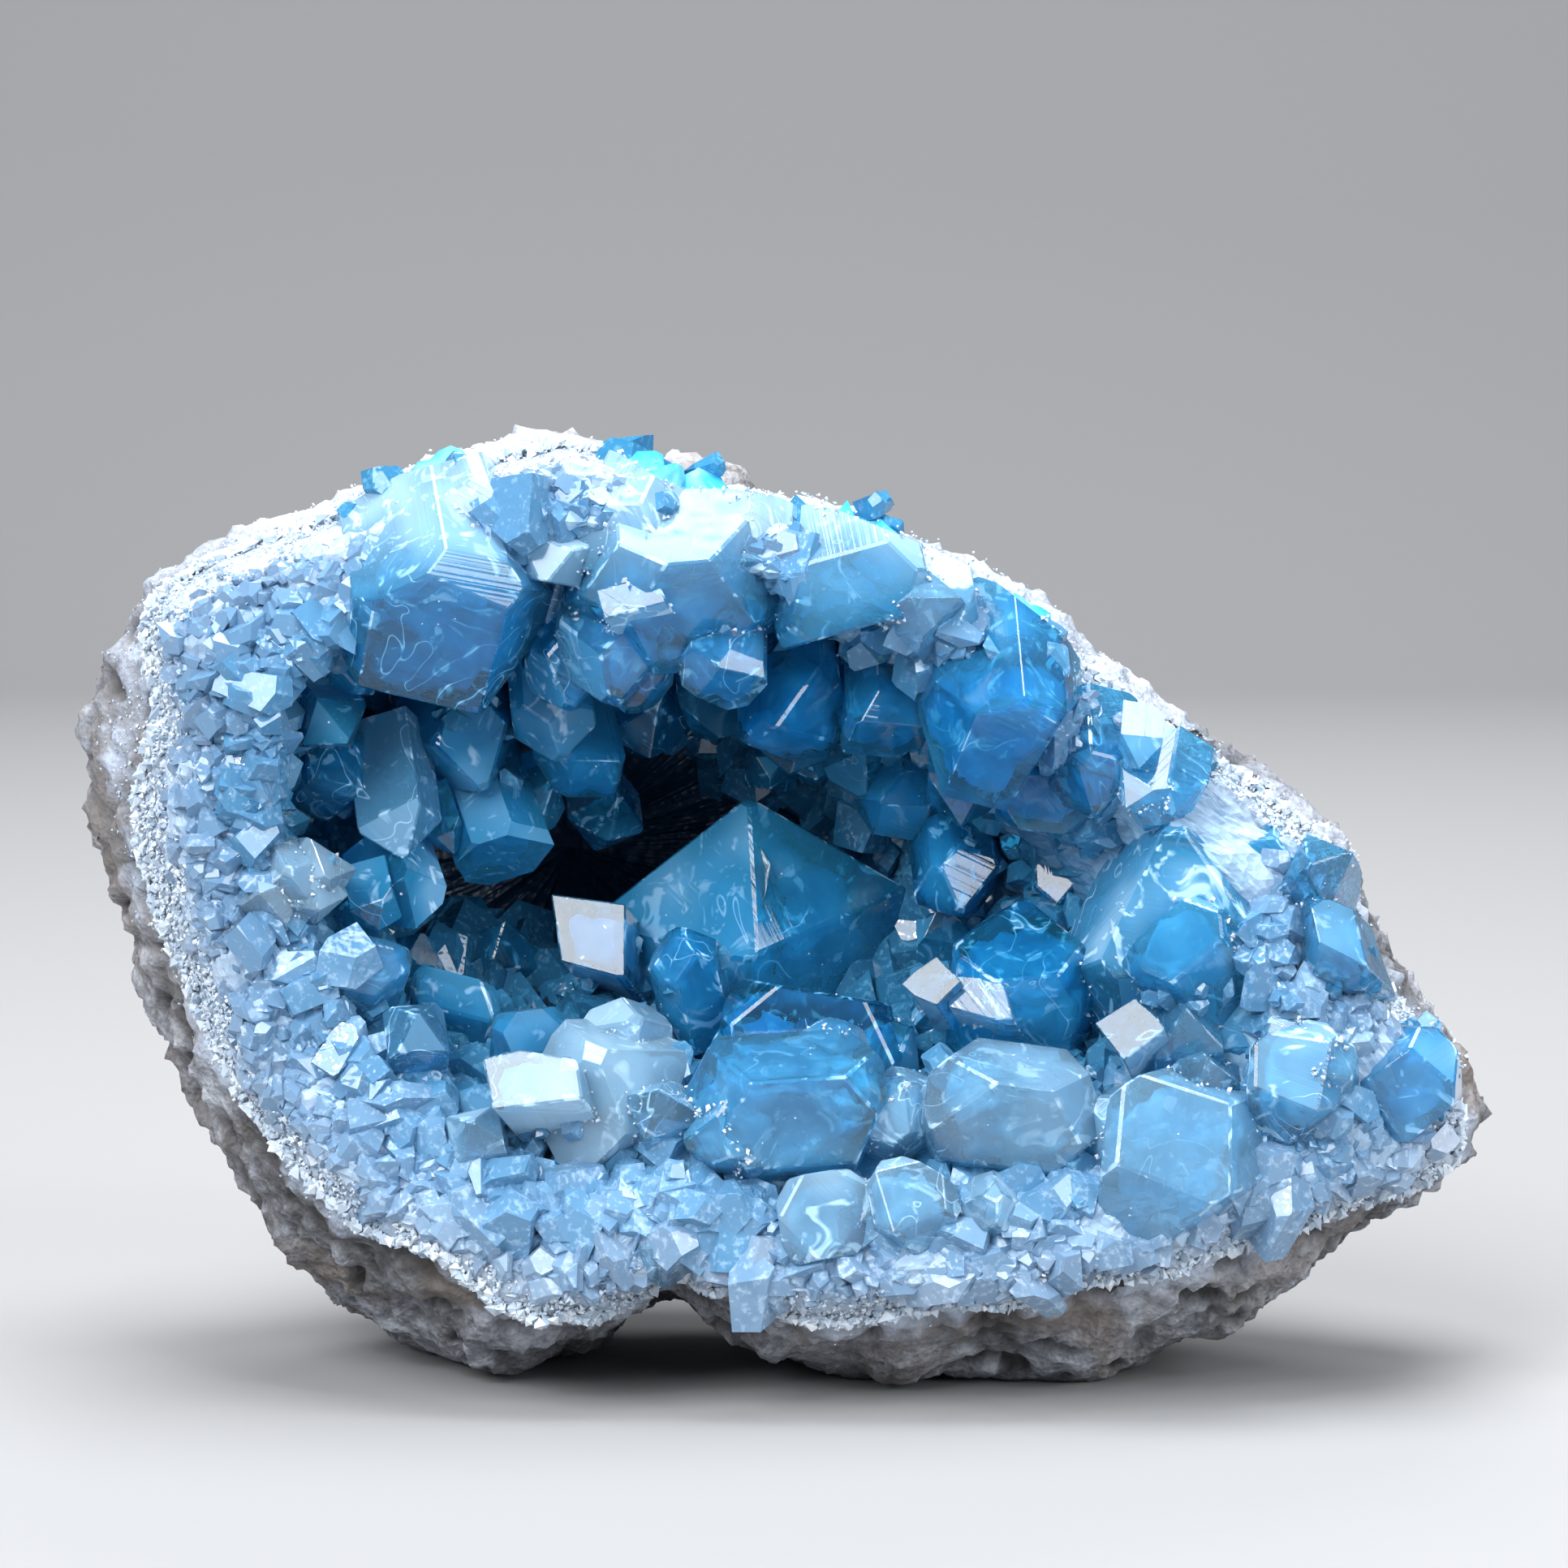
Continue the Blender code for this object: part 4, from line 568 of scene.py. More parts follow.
def take_in(shape, one, tip, grows, roll):
    """Stands one crystal, made in millimetres, at its place and adds it to a mesh in metres."""
    one.transform(Matrix.Translation(MOVE) @ stand(tip, grows, roll))
    one.transform(Matrix.Scale(MM, 4))
    mesh = bpy.data.meshes.new("one_crystal")
    one.to_mesh(mesh)
    one.free()
    shape.from_mesh(mesh)
    bpy.data.meshes.remove(mesh)


def gathered(name, shape):
    """The object of a mesh that crystals were added to."""
    mesh = bpy.data.meshes.new(name)
    shape.to_mesh(mesh)
    shape.free()
    return new_object(name, mesh)


def keep_inside(target, mould):
    """Joins what overlaps in the target and keeps only what lies inside the mould."""
    step = target.modifiers.new("mould", "BOOLEAN")
    step.operation = "INTERSECT"
    step.solver = "EXACT"
    step.use_self = True
    step.object = mould
    graph = bpy.context.evaluated_depsgraph_get()
    result = bpy.data.meshes.new_from_object(target.evaluated_get(graph))
    target.modifiers.clear()
    target.data = result
    bpy.data.objects.remove(mould, do_unlink=True)


# Width of a worn edge: share of the crystal's width, and the most it can be.
BEVEL = 0.022
BEVEL_MOST = 0.32
# The crystals' feet end this deep inside the crust, and the mould reaches this far in front of the stone.
FOOT_COVER = 0.7
MOULD_TURNS = 120
MOULD_FRONT = -48


def make_mould():
    """The space that crystals may fill: the bowl of the crust, open to the front."""
    angle = np.linspace(-math.pi, math.pi, MOULD_TURNS, endpoint=False)
    rings = list(reversed(inner_rings(angle, GAP + FOOT_COVER)))
    edge = pick(STATIONS, angle)[:, 0] + np.array((EDGE_INSET, EDGE_BACK))
    for outward, forward in ((0.0, 0.0), (0.035, 8), (0.06, 48)):
        share = np.minimum(edge[:, 0] + outward, np.maximum(1.0, edge[:, 0])) - EDGE_INSET
        rings.append(spot(angle, share, between(edge[:, 1], MOULD_FRONT, forward / 48) - 0.5))
    return loft("mould", rings, middle(INNER_END - 2, 0.5), middle(MOULD_FRONT - 0.5, 0.0))


def list_crystals():
    """All the larger crystals: tip, direction, width, thickness, length, form, roll, seed."""
    listed = [row[1:] + (100 + i,) for i, row in enumerate(CRYSTALS)]
    listed += [row[1:] + (500 + i,) for i, row in enumerate(partners())]
    listed += [row + (900 + i,) for i, row in enumerate(scattered())]
    return listed


LISTED = list_crystals()


def make_crystals():
    """The larger crystals, grown together into one clear body that ends inside the bowl."""
    shape = bmesh.new()
    for name in ("crystal", "worn", "side"):
        shape.faces.layers.int.new(name)
    for number, (tip, grows, width, thick, length, form, roll, seed) in enumerate(LISTED):
        one = cut_crystal(width, thick, length, form, seed, min(BEVEL_MOST, BEVEL * width))
        layer = one.faces.layers.int.new("crystal")
        for each in one.faces:
            each[layer] = number
        take_in(shape, one, tip, grows, roll)
    made = gathered("clear_crystals", shape)
    keep_inside(made, make_mould())
    return made


LINING_TURNS = 360
LINING_STEP = 0.06
# Rings of the lining that lie behind its edge, inside the rock.
LINING_BACK = 5


def make_lining():
    """The milky base of the crust, between the rock and the feet of the crystals."""
    angle = np.linspace(-math.pi, math.pi, LINING_TURNS, endpoint=False)
    rings = list(reversed(inner_rings(angle, GAP)))
    for way in np.concatenate([np.arange(0.0, 1.0, LINING_STEP), np.arange(1.0, 4.85, LINING_STEP)]):
        strength = 1.6 * smooth(min(way / 0.9, 1.0))
        points, away = face(angle, way), out_of_face(angle, way)
        bumps = octaves(points, 6, 4, fall=0.6)
        rings.append(points + away * (strength * bumps)[:, None])
    made = loft("crust_lining", rings, middle(INNER_END - GAP, 0.5), middle(HOLLOW_END, 1.0))
    ways = np.zeros(len(made.data.vertices))
    for row in range(LINING_BACK, len(rings)):
        ways[row * LINING_TURNS:(row + 1) * LINING_TURNS] = (row - LINING_BACK) * LINING_STEP / 5
    ways[-1] = 1.0
    set_attribute(made, "way", ways)
    return made


def chunk(seed, tips, sides, low, deep):
    """Points and triangles of an irregular small crystal, one millimetre wide, its tip near the origin."""
    chance = random.Random(seed)
    planes = []
    start = chance.uniform(0, 1)
    for i in range(sides):
        turn = 2 * math.pi * (i + start + chance.uniform(-0.25, 0.25)) / sides
        out = Vector((math.cos(turn), math.sin(turn), chance.uniform(-0.25, 0.1)))
        planes.append((out.normalized(), chance.uniform(0.34, 0.52)))
    start = chance.uniform(0, 1)
    for i in range(tips):
        turn = 2 * math.pi * (i + start + chance.uniform(-0.3, 0.3)) / tips
        steep = chance.uniform(low, 1.15)
        rise = Vector((math.cos(turn) * math.sin(steep), math.sin(turn) * math.sin(steep), math.cos(steep)))
        planes.append((rise, chance.uniform(0.0, 0.14)))
    one = carved((1.2, 1.2, deep), 0.1 - deep / 2, planes)
    bmesh.ops.triangulate(one, faces=one.faces[:])
    one.verts.index_update()
    points = np.array([vert.co for vert in one.verts])
    faces = np.array([[vert.index for vert in each.verts] for each in one.faces])
    one.free()
    return points, faces


def grain(seed):
    """Points and triangles of a crumb of frost, one millimetre wide: an uneven octahedron."""
    chance = random.Random(seed)
    corners = [(1, 0, 0), (0, 1, 0), (-1, 0, 0), (0, -1, 0), (0, 0, 1), (0, 0, -1)]
    points = [[0.5 * value + chance.uniform(-0.2, 0.2) for value in corner] for corner in corners]
    faces = [(4, i, (i + 1) % 4) for i in range(4)] + [(5, (i + 1) % 4, i) for i in range(4)]
    return np.array(points), np.array(faces)


CHUNKS = [chunk(40 + i, 4, 5, 0.5, 1.4) for i in range(9)]
GRAINS = [grain(70 + i) for i in range(6)]


def frames(grows, roll):
    """Rotation matrices that stand +Z along each direction, rolled about it."""
    up = grows / np.linalg.norm(grows, axis=1, keepdims=True)
    helper = np.where(np.abs(up[:, 1:2]) < 0.9, (0.0, 1.0, 0.0), (1.0, 0.0, 0.0))
    side = np.cross(helper, up)
    side /= np.linalg.norm(side, axis=1, keepdims=True)
    other = np.cross(up, side)
    turn, lift = np.cos(roll)[:, None], np.sin(roll)[:, None]
    return np.stack([side * turn + other * lift, other * turn - side * lift, up], -1)


def grow_small(name, tips, grows, widths, stretch, values, seed, kinds):
    """Many small crystals as one mesh. Values are point attributes given once for each crystal."""
    draw = np.random.default_rng(seed)
    kind = draw.integers(0, len(kinds), len(tips))
    turned = frames(grows, draw.uniform(0, 2 * math.pi, len(tips)))
    scale = np.stack([widths, widths * draw.uniform(0.75, 1.1, len(tips)), widths * stretch], -1)
    all_points, all_faces, owners, offset = [], [], [], 0
    for index, (points, faces) in enumerate(kinds):
        chosen = np.nonzero(kind == index)[0]
        shaped = points[None] * scale[chosen][:, None]
        placed = np.einsum("nij,npj->npi", turned[chosen], shaped) + tips[chosen][:, None]
        shift = offset + len(points) * np.arange(len(chosen))
        all_points.append(placed.reshape(-1, 3))
        all_faces.append((faces[None] + shift[:, None, None]).reshape(-1, 3))
        owners.append(np.repeat(chosen, len(points)))
        offset += placed.shape[0] * placed.shape[1]
    made = make_object(name, np.concatenate(all_points), np.concatenate(all_faces))
    owner = np.concatenate(owners)
    for key, value in values.items():
        set_attribute(made, key, np.asarray(value)[owner])
    return made


def strewn(count, low, high, seed):
    """Random places on the crust's face between two ways, even over its area: angle, way."""
    draw = np.random.default_rng(seed)
    angle = draw.uniform(-math.pi, math.pi, count * 4)
    way = draw.uniform(low, high, count * 4)
    side = face(angle + 0.02, way) - face(angle - 0.02, way)
    down = face(angle, np.minimum(way + 0.05, 5)) - face(angle, np.maximum(way - 0.05, 0))
    area = np.linalg.norm(side, axis=1) / 0.04 * (np.linalg.norm(down, axis=1) / 0.1)
    kept = np.nonzero(draw.uniform(0, area.max() * 0.8, count * 4) < area)[0][:count]
    return angle[kept], way[kept]


def lean(out, spread, draw):
    """Directions scattered about the given ones."""
    grows = out + draw.normal(0, 1, out.shape) * np.asarray(spread).reshape(-1, 1)
    return grows / np.linalg.norm(grows, axis=1, keepdims=True)


# Small crystals keep off the free part of the larger ones, except behind this depth.
FREE_WIDTH = 10
FREE_SHARE = 0.43
FREE_BACK = -12


def near_large(points):
    """Which points lie round the free part of a larger crystal."""
    close = np.zeros(len(points), bool)
    for tip, grows, width, thick, *_ in LISTED:
        if width < FREE_WIDTH:
            continue
        up = np.array(Vector(grows).normalized())
        away = points - np.array(tip)
        back = -away @ up
        off = np.linalg.norm(away + back[:, None] * up, axis=1)
        close |= (back > -0.3 * width) & (back < 0.5 * width) & (off < FREE_SHARE * (width + thick) / 2)
    return close


def druse(name, count, ways, sizes, rise, tilt, stretch, kinds, seed, shade, free=False, coarse=0.0):
    """A layer of small crystals on the crust's face: sizes by way and chance, coarser low on the stone."""
    angle, way = strewn(count, *ways, seed)
    draw = np.random.default_rng(seed + 100)
    base, out = face(angle, way), out_of_face(angle, way)
    below = np.clip((46 - base[:, 2]) / 18, 0, 1) * coarse
    above = np.clip((base[:, 2] - 96) / 14, 0, 1) * np.clip(1.3 - way, 0, 1)
    size = sizes(way, draw) * (1 + below) * (1 - 0.5 * above)
    tips = base + out * (size * rise * draw.uniform(0.5, 1.3, len(way)))[:, None]
    values = {"way": way / 5, "tint": draw.uniform(0, 1, len(way)) ** shade}
    values["left"] = np.clip((-tips[:, 0] - 40) / 30, 0, 1)
    # How high each crystal sits; the small crystals' material uses it to paint shade on the top of the band.
    values["high"] = np.clip((tips[:, 2] - 84) / 14, 0, 1)
    values["low"] = np.clip((50 - tips[:, 2]) / 20, 0, 1)
    grows = lean(out, tilt, draw)
    kept = draw.uniform(0, 1, len(way)) < (1 + below) ** -1.4
    if free:
        kept &= ~near_large(tips) | (tips[:, 1] > FREE_BACK)
    values = {key: value[kept] for key, value in values.items()}
    return grow_small(name, tips[kept], grows[kept], size[kept], stretch, values, seed, kinds)


def rock_crumbs(name, made, count, seed):
    """Crumbs of frost on the rock, denser near the rim."""
    draw = np.random.default_rng(seed)
    mesh = made.data
    weight = np.clip(read(mesh.attributes["snow"].data, "value"), 0, 1) ** 6
    points = read(mesh.vertices, "co", 3).reshape(-1, 3) / MM
    normals = np.array([vert.normal for vert in mesh.vertices])
    kept = np.nonzero(draw.uniform(0, 1, len(weight)) < weight * count / weight.sum())[0]
    tips = points[kept] - MOVE + draw.normal(0, 0.3, (len(kept), 3))
    values = {"tint": draw.uniform(0, 1, len(kept))}
    grows = lean(normals[kept], 0.5, draw)
    return grow_small(name, tips, grows, draw.uniform(0.2, 0.6, len(kept)), 0.8, values, seed, GRAINS)


def edge_frost(name, count, seed):
    """Frost over the joint between the crust's edge and the rock, all round the stone."""
    draw = np.random.default_rng(seed)
    angle = draw.uniform(-math.pi, math.pi, count)
    out = np.stack([np.cos(angle), 0 * angle, np.sin(angle)], -1)
    aside = np.stack([0 * angle, draw.uniform(-0.7, 2.2, count), 0 * angle], -1)
    tips = face(angle, 0 * angle) + out * draw.uniform(-0.2, 1.1, count)[:, None] + aside
    values = {"tint": draw.uniform(0, 1, count)}
    grows = lean(out, 0.6, draw)
    return grow_small(name, tips, grows, draw.uniform(0.6, 2.3, count), 0.8, values, seed, GRAINS)


class Paint:
    """A material whose nodes are added one after another."""

    def __init__(self, name):
        self.made = bpy.data.materials.new(name)
        self.made.use_nodes = True
        self.tree = self.made.node_tree
        self.shader = self.tree.nodes["Principled BSDF"]

    def node(self, kind, **links):
        """A node; links give its inputs by name, as values or other nodes' outputs."""
        made = self.tree.nodes.new(kind)
        for name, value in links.items():
            self.put(made, name.replace("_", " "), value)
        return made

    def put(self, node, name, value):
        """Sets or links one input, named or given by its number as #0, #1 and so on."""
        socket = node.inputs[int(name[1:])] if name[0] == "#" else node.inputs[name]
        if isinstance(value, bpy.types.NodeSocket):
            self.tree.links.new(value, socket)
        else:
            socket.default_value = value

    def place(self):
        """The point on the surface, in metres of the object."""
        found = self.tree.nodes.get("Texture Coordinate") or self.node("ShaderNodeTexCoord")
        return found.outputs["Object"]

    def noise(self, scale, detail=4.0, rough=0.55, where=None, twist=0.0):
        """Noise, its scale in features a metre."""
        made = self.node("ShaderNodeTexNoise", Scale=scale, Detail=detail, Roughness=rough, Distortion=twist)
        self.tree.links.new(where or self.place(), made.inputs["Vector"])
        return made.outputs["Fac"]

    def cells(self, scale):
        """Distance from the middle of the nearest cell, cells a metre."""
        made = self.node("ShaderNodeTexVoronoi", Scale=scale)
        self.tree.links.new(self.place(), made.inputs["Vector"])
        return made.outputs["Distance"]

    def attribute(self, name):
        """A value stored on the mesh."""
        made = self.node("ShaderNodeAttribute")
        made.attribute_name = name
        return made.outputs["Fac"]

    def math(self, operation, a, b=0.5):
        """A sum, difference, product or absolute value; the first three stay between 0 and 1."""
        made = self.node("ShaderNodeMath")
        made.operation = operation
        self.put(made, "#0", a)
        self.put(made, "#1", b)
        made.use_clamp = operation in ("MULTIPLY", "ADD", "SUBTRACT")
        return made.outputs[0]

    def times(self, a, b):
        return self.math("MULTIPLY", a, b)

    def plus(self, first, *others):
        for other in others:
            first = self.math("ADD", first, other)
        return first

    def fit(self, value, low, high, start, end):
        """A value that runs from low to high, made to run from start to end."""
        made = self.node("ShaderNodeMapRange", Value=value)
        for name, number in (("From Min", low), ("From Max", high), ("To Min", start), ("To Max", end)):
            self.put(made, name, number)
        return made.outputs["Result"]

    def threads(self, scale, width, twist):
        """Thin wandering lines, like cracks in ice."""
        made = self.math("SUBTRACT", self.noise(scale, 2, 0.5, twist=twist), 0.5)
        made.node.use_clamp = False
        return self.fit(self.math("ABSOLUTE", made), 0.0, width, 1.0, 0.0)

    def ramp(self, value, *stops):
        """A value through a colour ramp; stops are (position, colour)."""
        made = self.node("ShaderNodeValToRGB", Fac=value)
        marks = made.color_ramp.elements
        while len(marks) < len(stops):
            marks.new(0.5)
        for mark, (position, colour) in zip(marks, stops):
            mark.position = position
            mark.color = (*colour, 1)
        return made.outputs["Color"]

    def mix(self, share, a, b):
        """One colour blended into another."""
        made = self.node("ShaderNodeMix")
        made.data_type = "RGBA"
        for name, value in (("#0", share), ("#6", a), ("#7", b)):
            self.put(made, name, (*value, 1) if isinstance(value, tuple) else value)
        return made.outputs[2]

    def bump(self, *layers):
        """Bumps laid over each other; a layer is (height, distance in millimetres, strength)."""
        last = None
        for height, distance, strength in layers:
            made = self.node("ShaderNodeBump", Height=height, Distance=distance * MM, Strength=strength)
            if last:
                self.tree.links.new(last, made.inputs["Normal"])
            last = made.outputs["Normal"]
        self.tree.links.new(last, self.shader.inputs["Normal"])

    def set(self, **values):
        """Sets or links the shader's own inputs."""
        for name, value in values.items():
            value = (*value, 1) if isinstance(value, tuple) else value
            self.put(self.shader, name.replace("_", " "), value)

    def absorb(self, colour, density):
        """Absorption inside the body."""
        volume = self.node("ShaderNodeVolumeAbsorption", Color=(*colour, 1), Density=density)
        output = self.tree.nodes["Material Output"]
        self.tree.links.new(volume.outputs["Volume"], output.inputs["Volume"])


def grey_rock():
    """Rough limestone: dusted with crystal at the rim, grey with brown stains elsewhere; painted shade
    darkens its pits and cracks almost to black.
    """
    p = Paint("grey_rock")
    coarse = p.noise(55, 5, 0.62, twist=0.4)
    fine = p.noise(480, 3, 0.65)
    tone = p.plus(p.fit(coarse, 0.3, 0.7, 0.0, 0.62), p.fit(fine, 0.3, 0.7, 0.0, 0.38))
    stone = p.ramp(tone, (0.18, (0.075, 0.075, 0.08)), (0.42, (0.20, 0.21, 0.235)),
                   (0.60, (0.36, 0.385, 0.44)), (0.85, (0.60, 0.64, 0.70)))
    stain = p.fit(p.noise(38, 4, 0.6, twist=1.0), 0.52, 0.66, 0.0, 0.75)
    stone = p.mix(stain, stone, (0.20, 0.165, 0.14))
    snow = p.fit(p.attribute("snow"), 0.3, 0.8, 0.0, 1.0)
    white = p.times(snow, p.fit(p.noise(130, 5, 0.65), 0.34, 0.54, 0.3, 1.0))
    stone = p.mix(white, stone, (0.46, 0.54, 0.68))
    weathered = p.times(p.attribute("aged"), p.fit(p.noise(70, 5, 0.65), 0.42, 0.56, 0.0, 0.85))
    stone = p.mix(weathered, stone, (0.17, 0.155, 0.145))
    # Painted shade: sunk places of the rock, its pits and cracks, are darkened almost to black.
    painted_pit_shade = p.fit(p.attribute("hollow"), 0.5, 0.95, 0.0, 0.9)
    p.set(Base_Color=p.mix(painted_pit_shade, stone, (0.035, 0.032, 0.03)), Roughness=p.fit(fine, 0.3, 0.7, 0.65, 0.9))
    p.bump((p.noise(420, 3, 0.65), 0.7, 0.7), (p.cells(1300), 0.35, 0.6))
    return p.made


def celestite():
    """Clear blue crystal with soft milky clouds, cracks, growth lines along its faces and pale worn edges."""
    p = Paint("celestite_crystal")
    pale, cloudy = p.attribute("pale"), p.attribute("cloudy")
    cloud = p.noise(48, 2, 0.55)
    wisps = p.noise(170, 2, 0.65, twist=2.0)
    clouds = p.plus(p.fit(cloud, 0.50, 0.66, 0.0, 0.35), p.fit(wisps, 0.57, 0.66, 0.0, 0.5))
    chips = p.times(p.attribute("edge"), p.fit(wisps, 0.54, 0.62, 0.0, 0.45))
    cracks = p.times(p.threads(70, 0.005, 1.0), p.fit(cloud, 0.44, 0.52, 0.8, 0.0))
    milky = p.plus(p.times(clouds, cloudy), p.attribute("milk"), chips, p.times(cracks, cloudy))
    blue = p.mix(milky, p.mix(pale, (0.06, 0.55, 0.97), (0.50, 0.75, 0.95)),
                 p.mix(pale, (0.05, 0.42, 0.86), (0.40, 0.68, 0.94)))
    p.set(Base_Color=p.mix(p.fit(milky, 0.35, 1.0, 0.0, 0.8), blue, (0.56, 0.77, 0.92)))
    p.set(Transmission_Weight=p.fit(milky, 0.0, 1.0, 1.0, 0.06))
    p.set(Roughness=p.fit(milky, 0.0, 1.0, 0.015, 0.16))
    p.set(IOR=1.62, Specular_IOR_Level=0.28)
    lines = p.times(p.noise(1.1, 2, 0.6, where=p.attribute("across")), cloudy)
    p.bump((p.plus(p.times(lines, 0.55), p.times(p.noise(190, 1, 0.55), 0.45)), 0.5, 0.35))
    p.absorb((0.0, 0.90, 0.985), 60)
    return p.made


def cloudy_core():
    """Milky clouds inside the large crystals: saturated blue, streaked with white, with clear gaps."""
    p = Paint("cloudy_core")
    tint = p.attribute("tint")
    cloud = p.fit(p.noise(110, 2, 0.6, twist=1.2), 0.42, 0.68, 0.0, 0.8)
    streak = p.fit(p.noise(420, 3, 0.68), 0.54, 0.66, 0.0, 0.5)
    white = p.times(p.plus(cloud, streak), p.fit(tint, 0.0, 1.0, 0.15, 1.0))
    blue = p.mix(tint, (0.03, 0.50, 0.90), (0.26, 0.66, 0.95))
    p.set(Base_Color=p.mix(white, blue, (0.80, 0.92, 0.99)))
    p.set(Transmission_Weight=p.fit(white, 0.0, 0.5, 0.3, 0.0))
    p.set(Roughness=0.6, IOR=1.05, Specular_IOR_Level=0.0)
    return p.made


def veil():
    """Thin healed cracks inside the large crystals."""
    p = Paint("veil")
    p.set(Base_Color=(0.62, 0.84, 0.98), Roughness=0.12, IOR=1.35)
    p.set(Transmission_Weight=p.fit(p.noise(420, 2, 0.65), 0.42, 0.62, 0.85, 0.1))
    return p.made


def inclusion():
    """Tiny gas and fluid flakes inside the large crystals."""
    p = Paint("inclusion")
    p.set(Base_Color=p.mix(p.attribute("tint"), (0.45, 0.72, 0.92), (0.90, 0.95, 0.98)))
    p.set(Roughness=0.3, IOR=1.1)
    return p.made


def crust_base():
    """Milky base of the crust: snow white at the rim, deep blue down its wall, and darkened almost to black
    deep in the hollow as painted shade.
    """
    p = Paint("crust_base")
    way = p.plus(p.attribute("way"), p.fit(p.noise(160, 3, 0.6), 0.3, 0.7, -0.06, 0.06))
    # The ramp's last stops are painted shade: deep in the hollow the base turns almost black.
    colour = p.ramp(way, (0.0, (0.42, 0.50, 0.60)), (0.25, (0.32, 0.46, 0.63)), (0.5, (0.27, 0.47, 0.66)),
                    (0.66, (0.08, 0.25, 0.45)), (0.85, (0.004, 0.025, 0.06)))
    p.set(Base_Color=colour, Roughness=0.35)
    p.bump((p.cells(700), 0.5, 0.6), (p.noise(1600, 3), 0.2, 0.5))
    return p.made


def frost():
    """Sugary grains of the rim, white with a breath of blue."""
    p = Paint("frost")
    tint = p.attribute("tint")
    p.set(Base_Color=p.mix(tint, (0.40, 0.51, 0.64), (0.72, 0.79, 0.86)))
    p.set(Roughness=p.fit(tint, 0.0, 1.0, 0.15, 0.5))
    p.bump((p.noise(2200, 2), 0.1, 0.4))
    return p.made


def small_crystal():
    """Small crystals: frosted and pale at the rim, clear and blue inside."""
    p = Paint("small_crystal")
    way = p.attribute("way")
    patch = p.fit(p.noise(90, 2, 0.6), 0.4, 0.65, 0.0, 0.55)
    vein = p.fit(p.noise(900, 2, 0.65), 0.52, 0.68, 0.0, 0.6)
    pale = p.plus(p.times(patch, p.attribute("tint")), vein)
    pale = p.math("SUBTRACT", pale, p.times(p.attribute("left"), 0.15))
    # Painted shade: high on the stone, the band below the rim is made darker against the top lamp's light.
    pale = p.math("SUBTRACT", pale, p.times(p.attribute("high"), p.fit(way, 0.05, 0.26, -0.3, 0.25)))
    pale = p.plus(pale, p.times(p.attribute("low"), 0.12))
    deep = p.ramp(way, (0.0, (0.44, 0.53, 0.64)), (0.14, (0.25, 0.39, 0.58)), (0.38, (0.13, 0.34, 0.59)),
                  (0.62, (0.05, 0.28, 0.52)), (1.0, (0.02, 0.13, 0.27)))
    light = p.ramp(way, (0.0, (0.64, 0.71, 0.79)), (0.2, (0.44, 0.57, 0.72)), (0.42, (0.33, 0.53, 0.75)),
                   (0.64, (0.14, 0.42, 0.66)), (1.0, (0.08, 0.28, 0.45)))
    p.set(Base_Color=p.mix(pale, deep, light), Transmission_Weight=p.fit(pale, 0.0, 1.0, 0.3, 0.0))
    p.set(Roughness=p.fit(pale, 0.0, 1.0, 0.05, 0.28), IOR=1.55, Specular_IOR_Level=0.5)
    p.bump((p.noise(700, 1, 0.6), 0.3, 0.35))
    return p.made


# Fineness of the rock's mesh, in metres.
ROCK_VOXEL = 0.00105


def make_rock():
    """The rock: the CAD shape remeshed fine, then weathered with lumps, cracks, pits and grains."""
    made = new_object("rock_shell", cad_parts["rock_matrix"].data.copy())
    step = made.modifiers.new("fine", "REMESH")
    step.mode = "VOXEL"
    step.voxel_size = ROCK_VOXEL
    graph = bpy.context.evaluated_depsgraph_get()
    fine = bpy.data.meshes.new_from_object(made.evaluated_get(graph))
    made.modifiers.clear()
    made.data = fine
    points = read(fine.vertices, "co", 3).reshape(-1, 3) / MM
    normals = np.array([vert.normal for vert in fine.vertices])
    bent = points + 1.8 * np.stack([octaves(points, 9, 2, seed=s) for s in (3.1, 17.7, 41.9)], -1)
    lumps = octaves(bent, 13, 2, seed=2.0)
    ridges = 1 - 2 * np.abs(octaves(bent, 6.5, 2, seed=9.0))
    crackle = 1 - 2 * np.abs(octaves(bent, 2.6, 2, seed=23.0))
    grains = octaves(points, 1.9, 2, seed=31.0, fall=0.7)
    pits = smooth(np.clip((octaves(bent, 4.6, 1, seed=50.0) - 0.28) / 0.22, 0, 1))
    rise = 1.5 * lumps - 0.9 * ridges - 0.55 * crackle + 0.5 * grains - 2.1 * pits
    # The underside stays calm, and nothing sinks below the ground.
    calm = np.clip(points[:, 2] / 3, 0, 1)
    points += normals * (rise * between(0.25, 1.0, calm))[:, None]
    points[:, 2] = np.maximum(points[:, 2], 0.0)
    fine.vertices.foreach_set("co", (points * MM).ravel())
    fine.shade_smooth()

    x, depth, z = (points - MOVE).T
    angle = np.arctan2(z - CENTRE[1], x - CENTRE[0])
    behind = depth - pick(STATIONS, angle)[:, 0, 1] - EDGE_BACK
    snow_width = between(7, 26, np.clip((z - 30) / 60, 0, 1) ** 2)
    # How sunk each point is; the rock's material reads it to paint shade into pits and cracks.
    set_attribute(made, "hollow", np.clip(0.45 - 0.22 * rise, 0, 1))
    set_attribute(made, "snow", np.clip(1 - behind / snow_width, 0, 1))
    set_attribute(made, "aged", np.clip((-x - 70) / 16, 0, 1) * np.clip((112 - z) / 26, 0, 1))
    return made


# The camera: lens and sensor in millimetres, place in metres, tilt in degrees from straight down.
LENS = 119.8
SENSOR = 36
CAMERA_PLACE = (0, -0.697, 0.139)
CAMERA_TILT = 85
# The stage, in metres: half width, front and back of the floor, height of its back and radius of the bend.
FLOOR_HALF = 3.2
FLOOR_NEAR = -2.4
FLOOR_FAR = 1.9
FLOOR_HIGH = 1.9
FLOOR_BEND = 0.6
